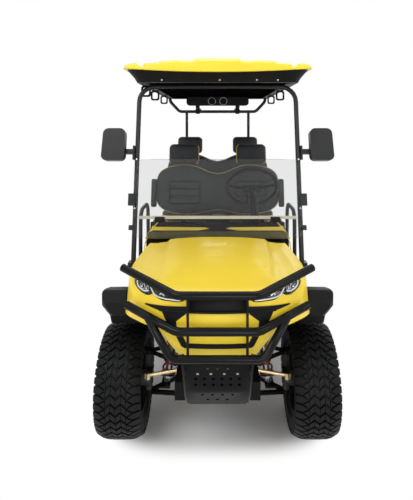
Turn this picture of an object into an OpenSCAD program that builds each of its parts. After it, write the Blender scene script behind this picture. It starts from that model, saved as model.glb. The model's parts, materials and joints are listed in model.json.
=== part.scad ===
// Electric utility vehicle: a lifted open cart with two rows of seats that face forward.
// Lengths are in mm. +Z is up, the nose points to -Y and the driver sits on the +X side.
// Every module is drawn from the ground below the middle of the front axle, with y counted
// backwards from that axle; from_axle() then centres the whole vehicle on the origin.

/* [Vehicle] */
// Distance between the front and rear axles
wheelbase = 1900; // [1890:5:1950]
// Front axle to the foremost point of the nudge bar
front_overhang = 560; // [556:1:580]
// Rear axle to the last point of the rear bumper
rear_overhang = 520; // [515:1:550]
// Distance between the middles of the left and right tyres
track = 1020; // [1012:2:1040]
// Height of the floor's top face
floor_z = 470; // [464:1:476]

/* [Wheels] */
// Outside diameter of a tyre over its lugs
tyre_d = 584; // [576:2:590]
// Width of a tyre across its sidewalls
tyre_w = 234; // [228:2:240]
// Diameter of the rim where the tyre seats
rim_d = 356; // [340:2:362]
// Width between the flanges of the rim
rim_w = 172; // [166:2:178]
// Number of spokes of a rim
spokes = 7; // [5:1:9]
// Depth of the tread blocks
lug_h = 12; // [8:1:14]

/* [Steering and suspension] */
// Half of the distance between the two kingpins
kingpin_x = 385; // [380:1:388]
// Length of the steering arms, kingpin to tie rod
steer_arm = 125; // [122:1:130]
// Radius of the wheel spindles
spindle_r = 22; // [18:0.5:24]
// Radius of the kingpins
kingpin_r = 10; // [8:0.5:12]
// Outer radius of the coil springs
coil_r = 38; // [34:0.5:38]

/* [Chassis] */
// Width of a frame rail
rail_w = 50; // [44:1:52]
// Height of a frame rail
rail_h = 90; // [84:1:94]
// Half of the distance between the rails' middles
rail_x = 185; // [183:1:187]
// Thickness of the floor
floor_t = 24; // [18:1:26]
// Half of the width of the floor
floor_half = 470; // [466:1:474]

/* [Nudge bar] */
// Outside radius of the nudge bar's tubes
guard_r = 19; // [16:0.5:20]
// Half of the straight length of the upper and middle tubes
guard_half = 182; // [172:2:190]
// Height of the upper tube's middle
guard_top_z = 957; // [950:1:964]
// Height of the middle tube's middle
guard_mid_z = 798; // [790:1:806]
// Height of the lower tube's middle
guard_low_z = 676; // [670:1:682]

/* [Body] */
// Thickness of the moulded nose
cowl_t = 8; // [6:0.5:10]
// Thickness of the black grille trim on the nose
trim_t = 7; // [4:0.5:9]
// Outer half width of the fender flares
flare_half = 600; // [590:2:612]
// Height of the rear body's deck
deck_z = 830; // [824:1:840]
// Half of the width of the rear body
rear_half = 470; // [464:1:476]
// Radius of the rear wheel arches
arch_r = 350; // [342:1:360]

/* [Cabin] */
// Half of the width of the front seat box
box_half = 455; // [440:1:462]
// Top of the front seat box
box_z = 785; // [778:1:792]
// Thickness of the seat cushions
cushion_t = 112; // [100:2:120]
// Half of the width of a seat cushion
cushion_half = 505; // [490:1:510]
// Height of a backrest pad
back_h = 415; // [400:1:420]
// Thickness of a backrest pad
back_t = 100; // [90:1:110]
// Lean of the backrests from upright, in degrees
back_lean = 12; // [11:0.5:13]
// Width of a headrest
headrest_w = 245; // [220:1:260]
// Height of a headrest
headrest_h = 170; // [150:1:180]
// Radius of the steering wheel to the middle of its rim
wheel_r = 178; // [170:1:190]
// Slope of the steering column above level, in degrees
column_slope = 38; // [37:0.5:39]

/* [Roof] */
// Half of the width of the roof
roof_half = 610; // [600:1:616]
// Height of the roof's lower yellow edge
roof_z = 2045; // [2035:1:2055]
// Depth of the black liner below that edge
liner_h = 60; // [55:1:65]
// Front end of the roof behind the front axle
roof_front = 350; // [340:1:360]
// Length of the roof
roof_length = 2050; // [2030:5:2080]
// Half of the distance between the front posts
post_x = 538; // [534:1:540]
// Radius of the posts' tubes
post_r = 16; // [14:0.5:17]
// Half of the width of the windscreen
screen_half = 541; // [535:1:545]
// Thickness of a windscreen pane
screen_t = 6; // [4:0.5:8]

/* [Hidden] */
// Space left between a piece and the piece it rests on
seat_gap = 0.3;
// Running clearance of a turning pin, at the radius
run_gap = 0.05;
// Angle of a full turn cut into facets
$fn = 48;

// Places that follow from the values above
axle_z = tyre_d / 2;
wheel_x = track / 2;
rail_top = floor_z - floor_t;
rail_low = rail_top - rail_h;
rail_in = rail_x - rail_w / 2;
rail_out = rail_x + rail_w / 2;
rear_y = wheelbase;
guard_y = -front_overhang + guard_r;
rear_end = wheelbase + rear_overhang;
// Front wall behind the steered wheels, and front wall of the rear body
wall_y = 435;
wall_t = 20;
rear_wall_y = rear_y - 400;
// Middles of the upper and lower kingpin bosses
king_low = axle_z - 70;
king_top = axle_z + 133;
liner_z = roof_z - liner_h;
// Foot of the front posts, their lean from upright and the length along them
post_y = 340;
post_z = 800;
post_lean = 12.5;
post_length = (liner_z - post_z - post_r - seat_gap) / cos(post_lean);
// Middle of the steering wheel
wheel_mid = [246, 700, 1261];

// Vector helpers
function unit(v) = v / norm(v);
function mix(a, b, t) = a + (b - a) * t;

// Outline of a rounded rectangle round the origin
function round_box(w, h, r, n = 4) =
    [for (c = [[1, 1, 0], [-1, 1, 90], [-1, -1, 180], [1, -1, 270]]) for (k = [0 : n])
        let (a = c[2] + 90 * k / n)
        [c[0] * (w / 2 - r) + r * cos(a), c[1] * (h / 2 - r) + r * sin(a)]];

// Arc that rounds the corner b between a and c to the radius bend
function corner_arc(a, b, c, bend, n) =
    let (u = unit(a - b), v = unit(c - b), half = acos(u * v) / 2,
        middle = b + unit(u + v) * bend / sin(half),
        e = unit(b + u * bend / tan(half) - middle),
        q = b + v * bend / tan(half) - middle,
        w = unit(q - e * (q * e)))
    [for (k = [0 : n]) let (a = (180 - 2 * half) * k / n) middle + bend * (cos(a) * e + sin(a) * w)];

// Path through corner points, each inner corner rounded
function round_path(corners, bend, n = 4) =
    [for (i = [0 : len(corners) - 1]) each (i == 0 || i == len(corners) - 1
        ? [corners[i]]
        : corner_arc(corners[i - 1], corners[i], corners[i + 1], bend, n))];

// Closed solid through a row of convex loops that turn right-handed about the row's direction
module loft(loops) {
    n = len(loops[0]);
    m = len(loops);
    sides = [for (i = [0 : m - 2]) for (k = [0 : n - 1])
        let (a = i * n + k, b = i * n + (k + 1) % n)
        each [[a, a + n, b], [b, a + n, b + n]]];
    first = [for (k = [0 : n - 1]) k];
    last = [for (k = [n - 1 : -1 : 0]) (m - 1) * n + k];
    polyhedron([for (l = loops) each l], concat([first], sides, [last]));
}

// Round bar along a path; face is a direction that the path never takes
module tube(path, r, face, sides = 12) {
    end = len(path) - 1;
    loft([for (i = [0 : end])
        let (t = unit(i == 0 ? path[1] - path[0]
                : i == end ? path[end] - path[end - 1]
                : unit(path[i + 1] - path[i]) + unit(path[i] - path[i - 1])),
            u = unit(cross(t, face)), v = cross(t, u))
        [for (k = [0 : sides - 1])
            path[i] + r * (cos(360 * k / sides) * u + sin(360 * k / sides) * v)]]);
}

// Straight round bar from a to b
module rod(a, b, r) {
    d = b - a;
    translate(a)
        rotate([0, acos(d[2] / norm(d)), atan2(d[1], d[0])])
            cylinder(r = r, h = norm(d));
}

// Sheet between two grids of points, the first one on the outside
module grid_shell(outer, inner) {
    rows = len(outer);
    cols = len(outer[0]);
    half = rows * cols;
    function at(i, j) = i * cols + j;
    skin = [for (i = [0 : rows - 2]) for (j = [0 : cols - 2])
        each [[at(i, j), at(i + 1, j), at(i + 1, j + 1)], [at(i, j), at(i + 1, j + 1), at(i, j + 1)]]];
    lining = [for (f = skin) [f[2] + half, f[1] + half, f[0] + half]];
    edge = concat([for (i = [0 : rows - 1]) at(i, 0)], [for (j = [1 : cols - 1]) at(rows - 1, j)],
        [for (i = [rows - 2 : -1 : 0]) at(i, cols - 1)], [for (j = [cols - 2 : -1 : 1]) at(0, j)]);
    rim = [for (k = [0 : len(edge) - 1])
        let (a = edge[k], b = edge[(k + 1) % len(edge)])
        each [[a, a + half, b], [b, a + half, b + half]]];
    polyhedron([for (row = concat(outer, inner)) each row], concat(skin, lining, rim));
}

// Way out of a grid's surface at one of its points
function grid_normal(g, i, j) =
    let (rows = len(g) - 1, cols = len(g[0]) - 1)
    unit(cross(g[i][min(j + 1, cols)] - g[i][max(j - 1, 0)], g[min(i + 1, rows)][j] - g[max(i - 1, 0)][j]));
function grow(g, out) =
    [for (i = [0 : len(g) - 1]) [for (j = [0 : len(g[0]) - 1]) g[i][j] + out * grid_normal(g, i, j)]];

module from_axle() {
    translate([0, -(wheelbase + rear_overhang - front_overhang) / 2, 0])
        children();
}

module both_sides() {
    children();
    mirror([1, 0, 0])
        children();
}

// Outline in x and z, pushed along y from y0 to y1
module along_y(y0, y1) {
    translate([0, y1, 0])
        rotate([90, 0, 0])
            linear_extrude(y1 - y0)
                children();
}

// Outline in y and z, pushed along x from x0 to x1
module along_x(x0, x1) {
    translate([x0, 0, 0])
        rotate([90, 0, 90])
            linear_extrude(x1 - x0)
                children();
}

// Block from its lowest corner to its highest one
module block(a, b) {
    translate(a)
        cube(b - a);
}

// Soft block on its underside, with rounded corners and a crowned top
module pad(w, d, h, r, crown) {
    loft([for (l = [[-8, 0], [0, 10], [0, h - crown], [-crown * 0.35, h - crown * 0.3], [-crown, h]])
        [for (p = round_box(w + 2 * l[0], d + 2 * l[0], r)) [p[0], p[1], l[1]]]]);
}

// Nose of the body

// Rows from the lower edge of the nose up and back to the windscreen.
// Columns: y and z on the middle line; x, y and z of the shoulder; x, y and z of the lower edge.
cowl_rows = [
    [-478, 655, 150, -470, 657, 185, -455, 664],
    [-492, 708, 190, -476, 709, 226, -448, 708],
    [-503, 762, 240, -470, 762, 280, -430, 757],
    [-508, 815, 305, -445, 806, 360, -390, 771],
    [-506, 865, 372, -395, 850, 449, -300, 774],
    [-498, 912, 412, -345, 898, 465, -210, 776],
    [-480, 945, 432, -290, 936, 471, -130, 780],
    [-430, 962, 446, -215, 953, 474, -60, 786],
    [-300, 977, 456, -100, 952, 477, 40, 794],
    [-130, 989, 458, 20, 947, 479, 130, 804],
    [60, 997, 446, 150, 950, 480, 230, 815],
    [285, 1002, 424, 300, 964, 490, 330, 830]];
function cowl_half(r) = concat(
    [for (t = [0, 0.3, 0.55, 0.75, 0.9, 1])
        [r[2] * t, mix(r[0], r[3], pow(t, 2.4)), mix(r[1], r[4], pow(t, 2.4))]],
    [for (t = [1 / 3, 2 / 3, 1])
        [mix(r[2], r[5], t) + 9 * sin(180 * t), mix(r[3], r[6], t), mix(r[4], r[7], t)]]);
cowl_grid = [for (r = cowl_rows) let (h = cowl_half(r), n = len(h) - 1)
    concat([for (k = [n : -1 : 1]) [-h[k][0], h[k][1], h[k][2]]], h)];

// Sheet along the nose between two heights above its skin, over some of its rows
module cowl_layer(out, into, rows = [0, 11]) {
    function part(g) = [for (i = [rows[0] : rows[1]]) g[i]];
    grid_shell(part(grow(cowl_grid, out)), part(grow(cowl_grid, into)));
}

// Outline of the left headlamp seen from the front
lamp_shape = [[150, 915], [300, 948], [378, 951], [408, 946], [402, 934], [387, 924], [366, 915], [342, 909],
    [318, 911], [301, 922], [287, 911], [259, 903], [214, 904], [172, 905]];
lamp_mid = [305, 936];
lamp_fit = 0.985;
lamp_back = -262;

module lamp_prism(fit, back) {
    both_sides()
        along_y(-520, back)
            polygon([for (p = lamp_shape) lamp_mid + (p - lamp_mid) * fit]);
}

module front_cowl() {
    color("gold")
        difference() {
            cowl_layer(0, -cowl_t);
            lamp_prism(1, lamp_back);
        }
}

module headlamp_housings() {
    color("dimgray")
        intersection() {
            cowl_layer(-6, -24, [3, 8]);
            lamp_prism(lamp_fit, lamp_back - seat_gap);
        }
}

module headlamp_lenses() {
    color("white")
        intersection() {
            cowl_layer(1, -6 + seat_gap, [3, 8]);
            lamp_prism(lamp_fit, lamp_back - seat_gap);
        }
}

// Left halves of the grille seen from the front: plate with wing blade, intake, mouth
blade_form = [[138, 866], [262, 859], [337, 871], [334, 875], [138, 890], [131, 936]];
intake_form = [[143, 870], [143, 857], [188, 821], [181, 786], [196, 792], [232, 815], [256, 862]];
mouth_form = [[150, 700], [164, 708], [198, 780], [168, 780], [142, 722]];
function whole(h) = concat(h, [for (k = [len(h) - 1 : -1 : 0]) [-h[k][0], h[k][1]]]);

module grille_trim() {
    color("black")
        intersection() {
            cowl_layer(trim_t, seat_gap, [0, 6]);
            along_y(-560, -300)
                union() {
                    polygon(whole(blade_form));
                    polygon(intake_form);
                    mirror([1, 0])
                        polygon(intake_form);
                    polygon(whole(mouth_form));
                }
        }
}

// Front flare from front to rear. Columns: y and z of its upper face, depth of the lip, depth of the
// lower edge, x beside the nose, how far the lip is set in, x where the arch lining ends under the nose.
front_flare = [
    [-254, 812, 24, 68, 457.5, 34, 470],
    [-232, 832, 44, 94, 462.3, 12, 475],
    [-200, 856, 78, 116, 466.8, 3, 479],
    [-155, 849, 80, 185, 472.5, 0, 350],
    [-125, 840, 78, 182, 474.7, 0, 340],
    [-60, 822, 72, 168, 477.1, 0, 340],
    [120, 752, 60, 104, 478.1, 0, 340],
    [268, 666, 44, 62, 478.1, 0, 491]];
// Side view of a rear flare, counted from the rear axle
rear_flare = [[-352, 560], [-318, 690], [-230, 748], [-90, 772], [90, 772], [230, 748], [318, 690],
    [352, 560], [322, 560], [284, 668], [212, 712], [84, 732], [-84, 732], [-212, 712], [-284, 668],
    [-322, 560]];

// Front flare with a rounded lip, a lower edge drawn in and the lining of the arch
module front_flare_bar() {
    loft([for (f = front_flare)
        let (lip = flare_half - f[5], edge = f[2] + 0.75 * min(44, f[3] - f[2]))
        [for (c = [[f[4], 0], [lip - 14, 0.02 * f[2]], [lip - 3, 0.1 * f[2]], [lip, 0.25 * f[2]],
            [lip - 1, f[2]], [lip - 27, edge], [lip - 42, f[3]], [f[6], f[3]], [f[6] - 8, f[3] - 4],
            [f[4], f[3] - 14]])
            [c[0], f[0], f[1] - c[1]]]]);
}

module fender_flares() {
    color("black")
        both_sides() {
            front_flare_bar();
            translate([0, rear_y, 0])
                along_x(rear_half + seat_gap, flare_half + 30)
                    polygon(rear_flare);
        }
}

// Chassis

skid_bend = [-445, 480];
skid_foot = [-348, 362];
skid_back = unit([skid_bend[1] - skid_foot[1], skid_foot[0] - skid_bend[0]]);

module chassis_frame() {
    wedge = [mix(skid_bend, skid_foot, 0.2) + seat_gap * skid_back,
        mix(skid_bend, skid_foot, 0.9) + seat_gap * skid_back];
    color("dimgray")
        union() {
            both_sides() {
                difference() {
                    block([rail_in, -320, rail_low], [rail_out, rear_y + 370, rail_top]);
                    // Way through for the steering rack
                    translate([0, rack_y, rack_z])
                        rotate([0, 90, 0])
                            cylinder(r = 34, h = 300);
                }
                // Tower that the front damper hangs from
                block([128, -35, 340], [156, 35, 640]);
                block([128, -35, 626], [262, 35, 640]);
                // Hangers of the leaf springs
                block([rail_in, rear_y - 360, 368.3], [358, rear_y - 320, rail_top]);
                block([rail_in, rear_y + 320, 368.3], [358, rear_y + 360, rail_top]);
                // Legs of the hoop above the rear axle
                block([rail_in, rear_y + 60, rail_top - 1], [rail_out, rear_y + 100, 600]);
            }
            block([-296, rear_y + 60, 572], [296, rear_y + 100, 600]);
            along_x(-147, 147)
                polygon([wedge[0], [-300, wedge[0][1]], [-300, wedge[1][1]], wedge[1]]);
            block([-rail_in - 1, -319, 383], [rail_in + 1, -270, rail_top]);
            block([-150, -130, 225], [150, 130, 350]);
            block([-rail_in - 1, -40, 345], [rail_in + 1, 40, 400]);
            for (y = [480, 1100, rear_y - 350, rear_y + 340])
                block([-rail_in - 1, y - 25, rail_low + 15], [rail_in + 1, y + 25, rail_top]);
        }
}

module skid_plate() {
    t = 5;
    top = [-470, 616];
    color("black")
        difference() {
            along_x(-148, 148)
                polygon([top, skid_bend, skid_foot, skid_foot - t * skid_back, skid_bend - [t, 2],
                    top - [t, 0]]);
            // Corners taken off the foot
            both_sides()
                translate([148, 0, 330])
                    rotate([0, 45, 0])
                        cube([62, 1400, 62], center = true);
            // Columns: height, number of holes, space between them
            for (row = [[594, 3, 46], [568, 4, 61], [544, 6, 40], [514, 6, 40], [450, 4, 47], [406, 3, 46]])
                for (k = [0 : row[1] - 1])
                    translate([(k - (row[1] - 1) / 2) * row[2], -300, row[0]])
                        rotate([90, 0, 0])
                            cylinder(r = 7, h = 230);
        }
}

module nudge_bar() {
    upper = [[-456, -350, 1020], [-guard_half, guard_y, guard_top_z], [guard_half, guard_y, guard_top_z],
        [456, -350, 1020]];
    middle = [[-426, -405, 862], [-guard_half, guard_y, guard_mid_z], [guard_half, guard_y, guard_mid_z],
        [426, -405, 862]];
    lower = [[-317, -480, 838], [-205, guard_y, guard_low_z], [205, guard_y, guard_low_z],
        [317, -480, 838]];
    color("dimgray")
        union() {
            tube(round_path(upper, 70), guard_r, [0, 0.3, 1]);
            tube(round_path(middle, 70), guard_r, [0, 0.3, 1]);
            tube(round_path(lower, 60), guard_r * 0.98, [0, 1, 0.5]);
            both_sides() {
                // Thin upright between the tubes
                translate([131, guard_y, guard_low_z])
                    cylinder(r = 6, h = guard_top_z - guard_low_z);
                // Bracket back to the frame
                along_x(149, 159)
                    polygon([[guard_y - 10, 694], [guard_y + 14, 694], [-319.3, rail_top], [-319.3, 384],
                        [-345, 384], [guard_y - 10, 656]]);
            }
        }
}

// One front control arm; columns of the table below: inner x, inner z, outer z, half spread, tube radius
arms = [[165.3, 262, king_low - 12, 110, 13], [rail_out + 15.3, 428, king_top + 12, 95, 11]];

module control_arms() {
    color("black")
        both_sides() {
            for (a = arms)
                difference() {
                    union() {
                        for (s = [-1, 1]) {
                            translate([a[0], s * a[3] - 20, a[1]])
                                rotate([-90, 0, 0])
                                    cylinder(r = 15, h = 40);
                            rod([a[0], s * a[3], a[1]], [kingpin_x - 8, s * 6, a[2]], a[4]);
                        }
                        translate([kingpin_x, 0, a[2] - 12 + seat_gap / 2])
                            cylinder(r = 24, h = 24 - seat_gap);
                    }
                    translate([kingpin_x, 0, a[2] - 50])
                        cylinder(r = kingpin_r + run_gap, h = 100);
                    // Room for the knuckle's post
                    translate([kingpin_x, 0, king_low - seat_gap / 2])
                        cylinder(r = 24, h = king_top - king_low + seat_gap);
                }
            // Plate that carries the front damper
            translate([288, 0, 262])
                cube([50, 110, 12], center = true);
        }
}

// Dampers stand from foot to head; columns: foot, head
damper_lines = [[[285, 0, 268.3], [228, 0, 625.7]],
    [[262, rear_y + 8, axle_z + 41], [262, rear_y + 80, 571.7]]];

module dampers() {
    color("silver")
        both_sides()
            for (d = damper_lines)
                difference() {
                    union() {
                        rod(d[0] - (d[1] - d[0]) * 0.1, mix(d[0], d[1], 0.62), 19);
                        rod(mix(d[0], d[1], 0.5), d[1] + (d[1] - d[0]) * 0.1, 9);
                        rod(mix(d[0], d[1], 0.1), mix(d[0], d[1], 0.13), coil_r + 3);
                        rod(mix(d[0], d[1], 0.86), mix(d[0], d[1], 0.9), coil_r + 3);
                    }
                    translate(d[0] - [60, 60, 120])
                        cube([120, 120, 120]);
                    translate(d[1] - [60, 60, 0])
                        cube([120, 120, 120]);
                }
}

// Coils wound round the dampers, from the lower perch to the upper one
coil_wire = 5.5;
coil_turns = 5;

module coil_springs() {
    steps = 9 * coil_turns;
    color("firebrick")
        both_sides()
            for (d = damper_lines) {
                way = unit(d[1] - d[0]);
                u = unit(cross(way, [0, 1, 0.01]));
                v = cross(way, u);
                low = mix(d[0], d[1], 0.13) + (coil_wire + seat_gap) * way;
                high = mix(d[0], d[1], 0.86) - (coil_wire + seat_gap) * way;
                tube([for (k = [0 : steps])
                    let (a = 360 * coil_turns * k / steps)
                    mix(low, high, k / steps) + (coil_r - coil_wire) * (cos(a) * u + sin(a) * v)],
                    coil_wire, way, 5);
            }
}

rack_y = -steer_arm;
rack_z = 398;

module steering_rack() {
    color("silver")
        difference() {
            union() {
                translate([-140, rack_y, rack_z])
                    rotate([0, 90, 0])
                        cylinder(r = 28, h = 280);
                both_sides()
                    block([60, -130, 350], [90, -105, rack_z]);
            }
            translate([-150, rack_y, rack_z])
                rotate([0, 90, 0])
                    cylinder(r = 14.3, h = 300);
        }
}

// Height of the steering arms' upper face
arm_z = 352;

module tie_rods() {
    color("goldenrod")
        union() {
            translate([-222, rack_y, rack_z])
                rotate([0, 90, 0])
                    cylinder(r = 14, h = 444);
            both_sides() {
                rod([214, rack_y, rack_z], [kingpin_x - 12, rack_y, arm_z + 18], 9);
                translate([kingpin_x - 12, rack_y, arm_z + seat_gap])
                    cylinder(r = 17, h = 32);
            }
        }
}

// Front knuckle: kingpin post, spindle and steering arm, drawn for the +X side
module knuckle() {
    color("dimgray")
        union() {
            translate([kingpin_x, 0, king_low])
                cylinder(r = 18, h = king_top - king_low);
            translate([kingpin_x, 0, king_low - 22])
                cylinder(r = kingpin_r, h = king_top - king_low + 44);
            translate([kingpin_x, 0, axle_z])
                rotate([0, 90, 0])
                    cylinder(r = spindle_r, h = wheel_x + 40 - kingpin_x);
            translate([kingpin_x, 0, axle_z])
                rotate([0, 90, 0])
                    cylinder(r = 44, h = wheel_x - 52.5 - kingpin_x);
            translate([kingpin_x, 0, arm_z - 14])
                linear_extrude(14)
                    polygon([[-10, 15], [12, 15], [12, 0], [2, -steer_arm - 14], [-26, -steer_arm - 14],
                        [-26, 0]]);
        }
}

module knuckle_left() {
    knuckle();
}

module knuckle_right() {
    mirror([1, 0, 0])
        knuckle();
}

// Wheels, drawn with the axle along +X and the outer face to +X

module place_wheel(side, y) {
    translate([side * wheel_x, y, axle_z])
        mirror([side < 0 ? 1 : 0, 0, 0])
            children();
}

// Rows across a tyre: share of the way from the rim to the tread, share of the half width,
// side whose lugs the row belongs to (0 for none) and share of the lug's depth
bead = (rim_w - 1) / tyre_w;
tyre_rows = [[0, bead, 0, 0], [0.42, 1, 0, 0], [0.86, 0.95, 1, 0.6], [1, 0.36, -1, 1],
    [1, -0.36, 1, 1], [0.86, -0.95, -1, 0.6], [0.42, -1, 0, 0], [0, -bead, 0, 0]];
lugs = 42;

// Closed ring of rows; each lug is a step up and a step down round the tread
module tyre() {
    steps = 2 * lugs;
    n = len(tyre_rows);
    r0 = rim_d / 2;
    r1 = tyre_d / 2;
    function lug(k, c) = c[2] == 0 ? 0 : (k % 2 == 0) == (c[2] > 0) ? 0 : c[3] * lug_h;
    points = [for (k = [0 : steps - 1]) for (c = tyre_rows)
        let (a = 360 * k / steps, r = mix(r0, r1, c[0]) - lug(k, c))
        [c[1] * tyre_w / 2, r * cos(a), r * sin(a)]];
    faces = [for (k = [0 : steps - 1]) for (j = [0 : n - 1])
        let (a = k * n + j, b = k * n + (j + 1) % n, c = (k + 1) % steps * n + j,
            d = (k + 1) % steps * n + (j + 1) % n)
        each [[a, c, b], [b, c, d]]];
    color("black")
        polyhedron(points, faces);
}

module rim() {
    r0 = rim_d / 2 - seat_gap;
    half = rim_w / 2;
    hub_in = -52;
    hub_out = 46;
    color("dimgray")
        difference() {
            union() {
                rotate([0, 90, 0])
                    rotate_extrude()
                        polygon([[r0 - 10, -half - 10], [r0 + 10, -half - 10], [r0 + 10, -half - 7.5],
                            [r0, -half - 0.5], [r0, half + 0.5], [r0 + 10, half + 7.5], [r0 + 10, half + 10],
                            [r0 - 10, half + 10], [r0 - 16, 0]]);
                translate([hub_in, 0, 0])
                    rotate([0, 90, 0])
                        cylinder(r = 66, h = hub_out - hub_in);
                for (k = [0 : spokes - 1])
                    rotate([360 * k / spokes, 0, 0])
                        along_x(12, 40)
                            polygon([[58, -22], [r0 - 8, -15], [r0 - 8, 15], [58, 22]]);
            }
            translate([hub_in - 10, 0, 0])
                rotate([0, 90, 0])
                    cylinder(r = spindle_r + run_gap, h = 200);
        }
}

module tyre_front_left() {
    place_wheel(1, 0)
        tyre();
}

module tyre_front_right() {
    place_wheel(-1, 0)
        tyre();
}

module tyre_rear_left() {
    place_wheel(1, rear_y)
        tyre();
}

module tyre_rear_right() {
    place_wheel(-1, rear_y)
        tyre();
}

module rim_front_left() {
    place_wheel(1, 0)
        rim();
}

module rim_front_right() {
    place_wheel(-1, 0)
        rim();
}

module rim_rear_left() {
    place_wheel(1, rear_y)
        rim();
}

module rim_rear_right() {
    place_wheel(-1, rear_y)
        rim();
}

// Rear axle

module rear_axle() {
    color("dimgray")
        union() {
            translate([-wheel_x - 40, rear_y, axle_z])
                rotate([0, 90, 0])
                    cylinder(r = spindle_r, h = 2 * wheel_x + 80);
            translate([-wheel_x + 60, rear_y, axle_z])
                rotate([0, 90, 0])
                    cylinder(r = 40, h = 2 * wheel_x - 120);
            both_sides()
                translate([wheel_x - 112, rear_y, axle_z])
                    rotate([0, 90, 0])
                        cylinder(r = 120, h = 59.5);
            translate([-70, rear_y, axle_z])
                rotate([0, 90, 0])
                    cylinder(r = 105, h = 140);
        }
}

module drive_motor() {
    color("silver")
        block([-85, rear_y - 105.3 - 210, axle_z - 85], [85, rear_y - 105.3, axle_z + 85]);
}

module leaf_springs() {
    color("black")
        both_sides()
            along_x(305, 355)
                union() {
                    polygon([[rear_y - 330, 340], [rear_y, axle_z + 40 + seat_gap], [rear_y + 330, 340],
                        [rear_y + 330, 352], [rear_y, axle_z + 62], [rear_y - 330, 352]]);
                    for (s = [-1, 1])
                        translate([rear_y + s * 340, 352])
                            circle(r = 16);
                }
}

// Floor and bulkhead

// Half of the width over the side steps
step_half = max(box_half + 167, floor_half + 152);

module floor_pan() {
    color("dimgray")
        block([-floor_half, wall_y + wall_t, rail_top], [floor_half, rear_wall_y, floor_z]);
}

module side_steps() {
    color("black")
        both_sides()
            along_y(wall_y + wall_t + 15, rear_wall_y - 40)
                polygon([[floor_half, floor_z], [step_half - 12, floor_z], [step_half, floor_z - 12],
                    [step_half - 22, floor_z - 42], [floor_half, floor_z - 42]]);
}

module cowl_panel() {
    color("black")
        union() {
            block([-floor_half, wall_y, rail_top], [floor_half, wall_y + wall_t, 960]);
            block([-405, 240, 922], [405, wall_y + 1, 937]);
            // Pads under the rear edge of the nose
            intersection() {
                cowl_layer(-cowl_t - seat_gap, -95, [9, 11]);
                both_sides()
                    block([180, 242, 930], [260, 262, 1040]);
            }
            // Shoulders that carry the front posts
            both_sides()
                block([floor_half - 10, 312, post_z - 40], [570, wall_y + wall_t, post_z]);
        }
}

module dashboard() {
    y0 = wall_y + wall_t;
    color("black")
        difference() {
            along_x(-445, 445)
                polygon([[y0, 830], [y0, 1052], [y0 + 12, 1062], [y0 + 70, 1050], [y0 + 120, 1000],
                    [y0 + 126, 940], [y0 + 60, 850], [y0 + 40, 830]]);
            translate(wheel_mid)
                rotate([column_slope - 90, 0, 0])
                    rotate([180, 0, 0])
                        cylinder(r = 30 + seat_gap, h = 330);
            // Cup and parcel pockets in the passenger's half
            block([-400, y0 + 40, 1002], [-150, y0 + 100, 1100]);
        }
}

module steering_column() {
    color("black")
        translate(wheel_mid)
            rotate([column_slope - 90, 0, 0])
                rotate([180, 0, 0])
                    translate([0, 0, 48])
                        difference() {
                            cylinder(r = 30, h = 270);
                            translate([0, 0, -1])
                                cylinder(r = 12 + run_gap, h = 81);
                        }
}

module steering_wheel() {
    color("black")
        translate(wheel_mid)
            rotate([column_slope - 90, 0, 0])
                union() {
                    rotate_extrude()
                        translate([wheel_r, 0])
                            circle(r = 15);
                    translate([0, 0, -40])
                        cylinder(r = 46, h = 46);
                    translate([0, 0, -110])
                        cylinder(r = 12, h = 80);
                    for (a = [10, 170, 270])
                        rotate([0, 0, a])
                            block([30, -17, -9], [wheel_r - 5, 17, 5]);
                }
}

module pedals() {
    y0 = wall_y + wall_t;
    color("dimgray")
        // Columns: middle x, half width
        for (p = [[170, 55], [310, 34]])
            union() {
                along_x(p[0] - p[1], p[0] + p[1])
                    polygon([[y0 + 70, 520], [y0 + 82, 514], [y0 + 112, 610], [y0 + 100, 616]]);
                along_x(p[0] - 9, p[0] + 9)
                    polygon([[y0, 690], [y0, 720], [y0 + 24, 720], [y0 + 104, 590], [y0 + 92, 580]]);
            }
}

// Windscreen and posts, drawn with z along the post

module along_post() {
    translate([0, post_y, post_z])
        rotate([-post_lean, 0, 0])
            children();
}

screen_y = -post_r - 8;
fold_gap = 12;

module front_posts() {
    corner = [post_x, 0, post_length];
    color("dimgray")
        union() {
            along_post()
                both_sides() {
                    tube(round_path([[post_x, 0, 12], corner, [397, 0, post_length]], 105, 6), post_r,
                        [0, 1, 0]);
                    // Clamps that hold the edge of the windscreen
                    block([post_x - 6, screen_y - screen_t - fold_gap - screen_t - 14, 385],
                        [576, 4, 462]);
                    block([screen_half + 1, screen_y - screen_t - 10, 230], [570, 4, 262]);
                }
            // Bar between the two bent ends
            along_post()
                translate([-398, 0, post_length])
                    rotate([0, 90, 0])
                        cylinder(r = post_r * 0.8, h = 796);
            both_sides()
                block([post_x - 30, post_y - 26, post_z], [post_x + 30, post_y + 34, post_z + 34]);
        }
}

// Rounded pane with its lower and upper ends along the post
module pane(front, low, high) {
    along_post()
        difference() {
            along_y(front - screen_t, front)
                translate([0, (low + high) / 2])
                    polygon(round_box(2 * screen_half, high - low, 40));
            children();
        }
}

module windscreen_lower() {
    color("white", 0.3)
        pane(screen_y, 190, 702)
            both_sides()
                block([post_x - 6.5, screen_y - 40, 384.5], [600, 40, 462.5]);
}

module windscreen_upper() {
    color("white", 0.3)
        pane(screen_y - screen_t - fold_gap, 334, 700)
            both_sides()
                block([post_x - 6.5, screen_y - 60, 384.5], [600, 40, 462.5]);
}

// Mirrors on the posts: middle x, height along the post
mirror_x = 690;
mirror_up = 785;

// Outline of a mirror, drawn in a little at its outer top corner
function mirror_form(w, h, r) =
    [for (p = round_box(w, h, r)) [p[0] - (p[0] > 0 ? 9 * (p[1] / h + 0.5) : 0), p[1]]];

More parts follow.
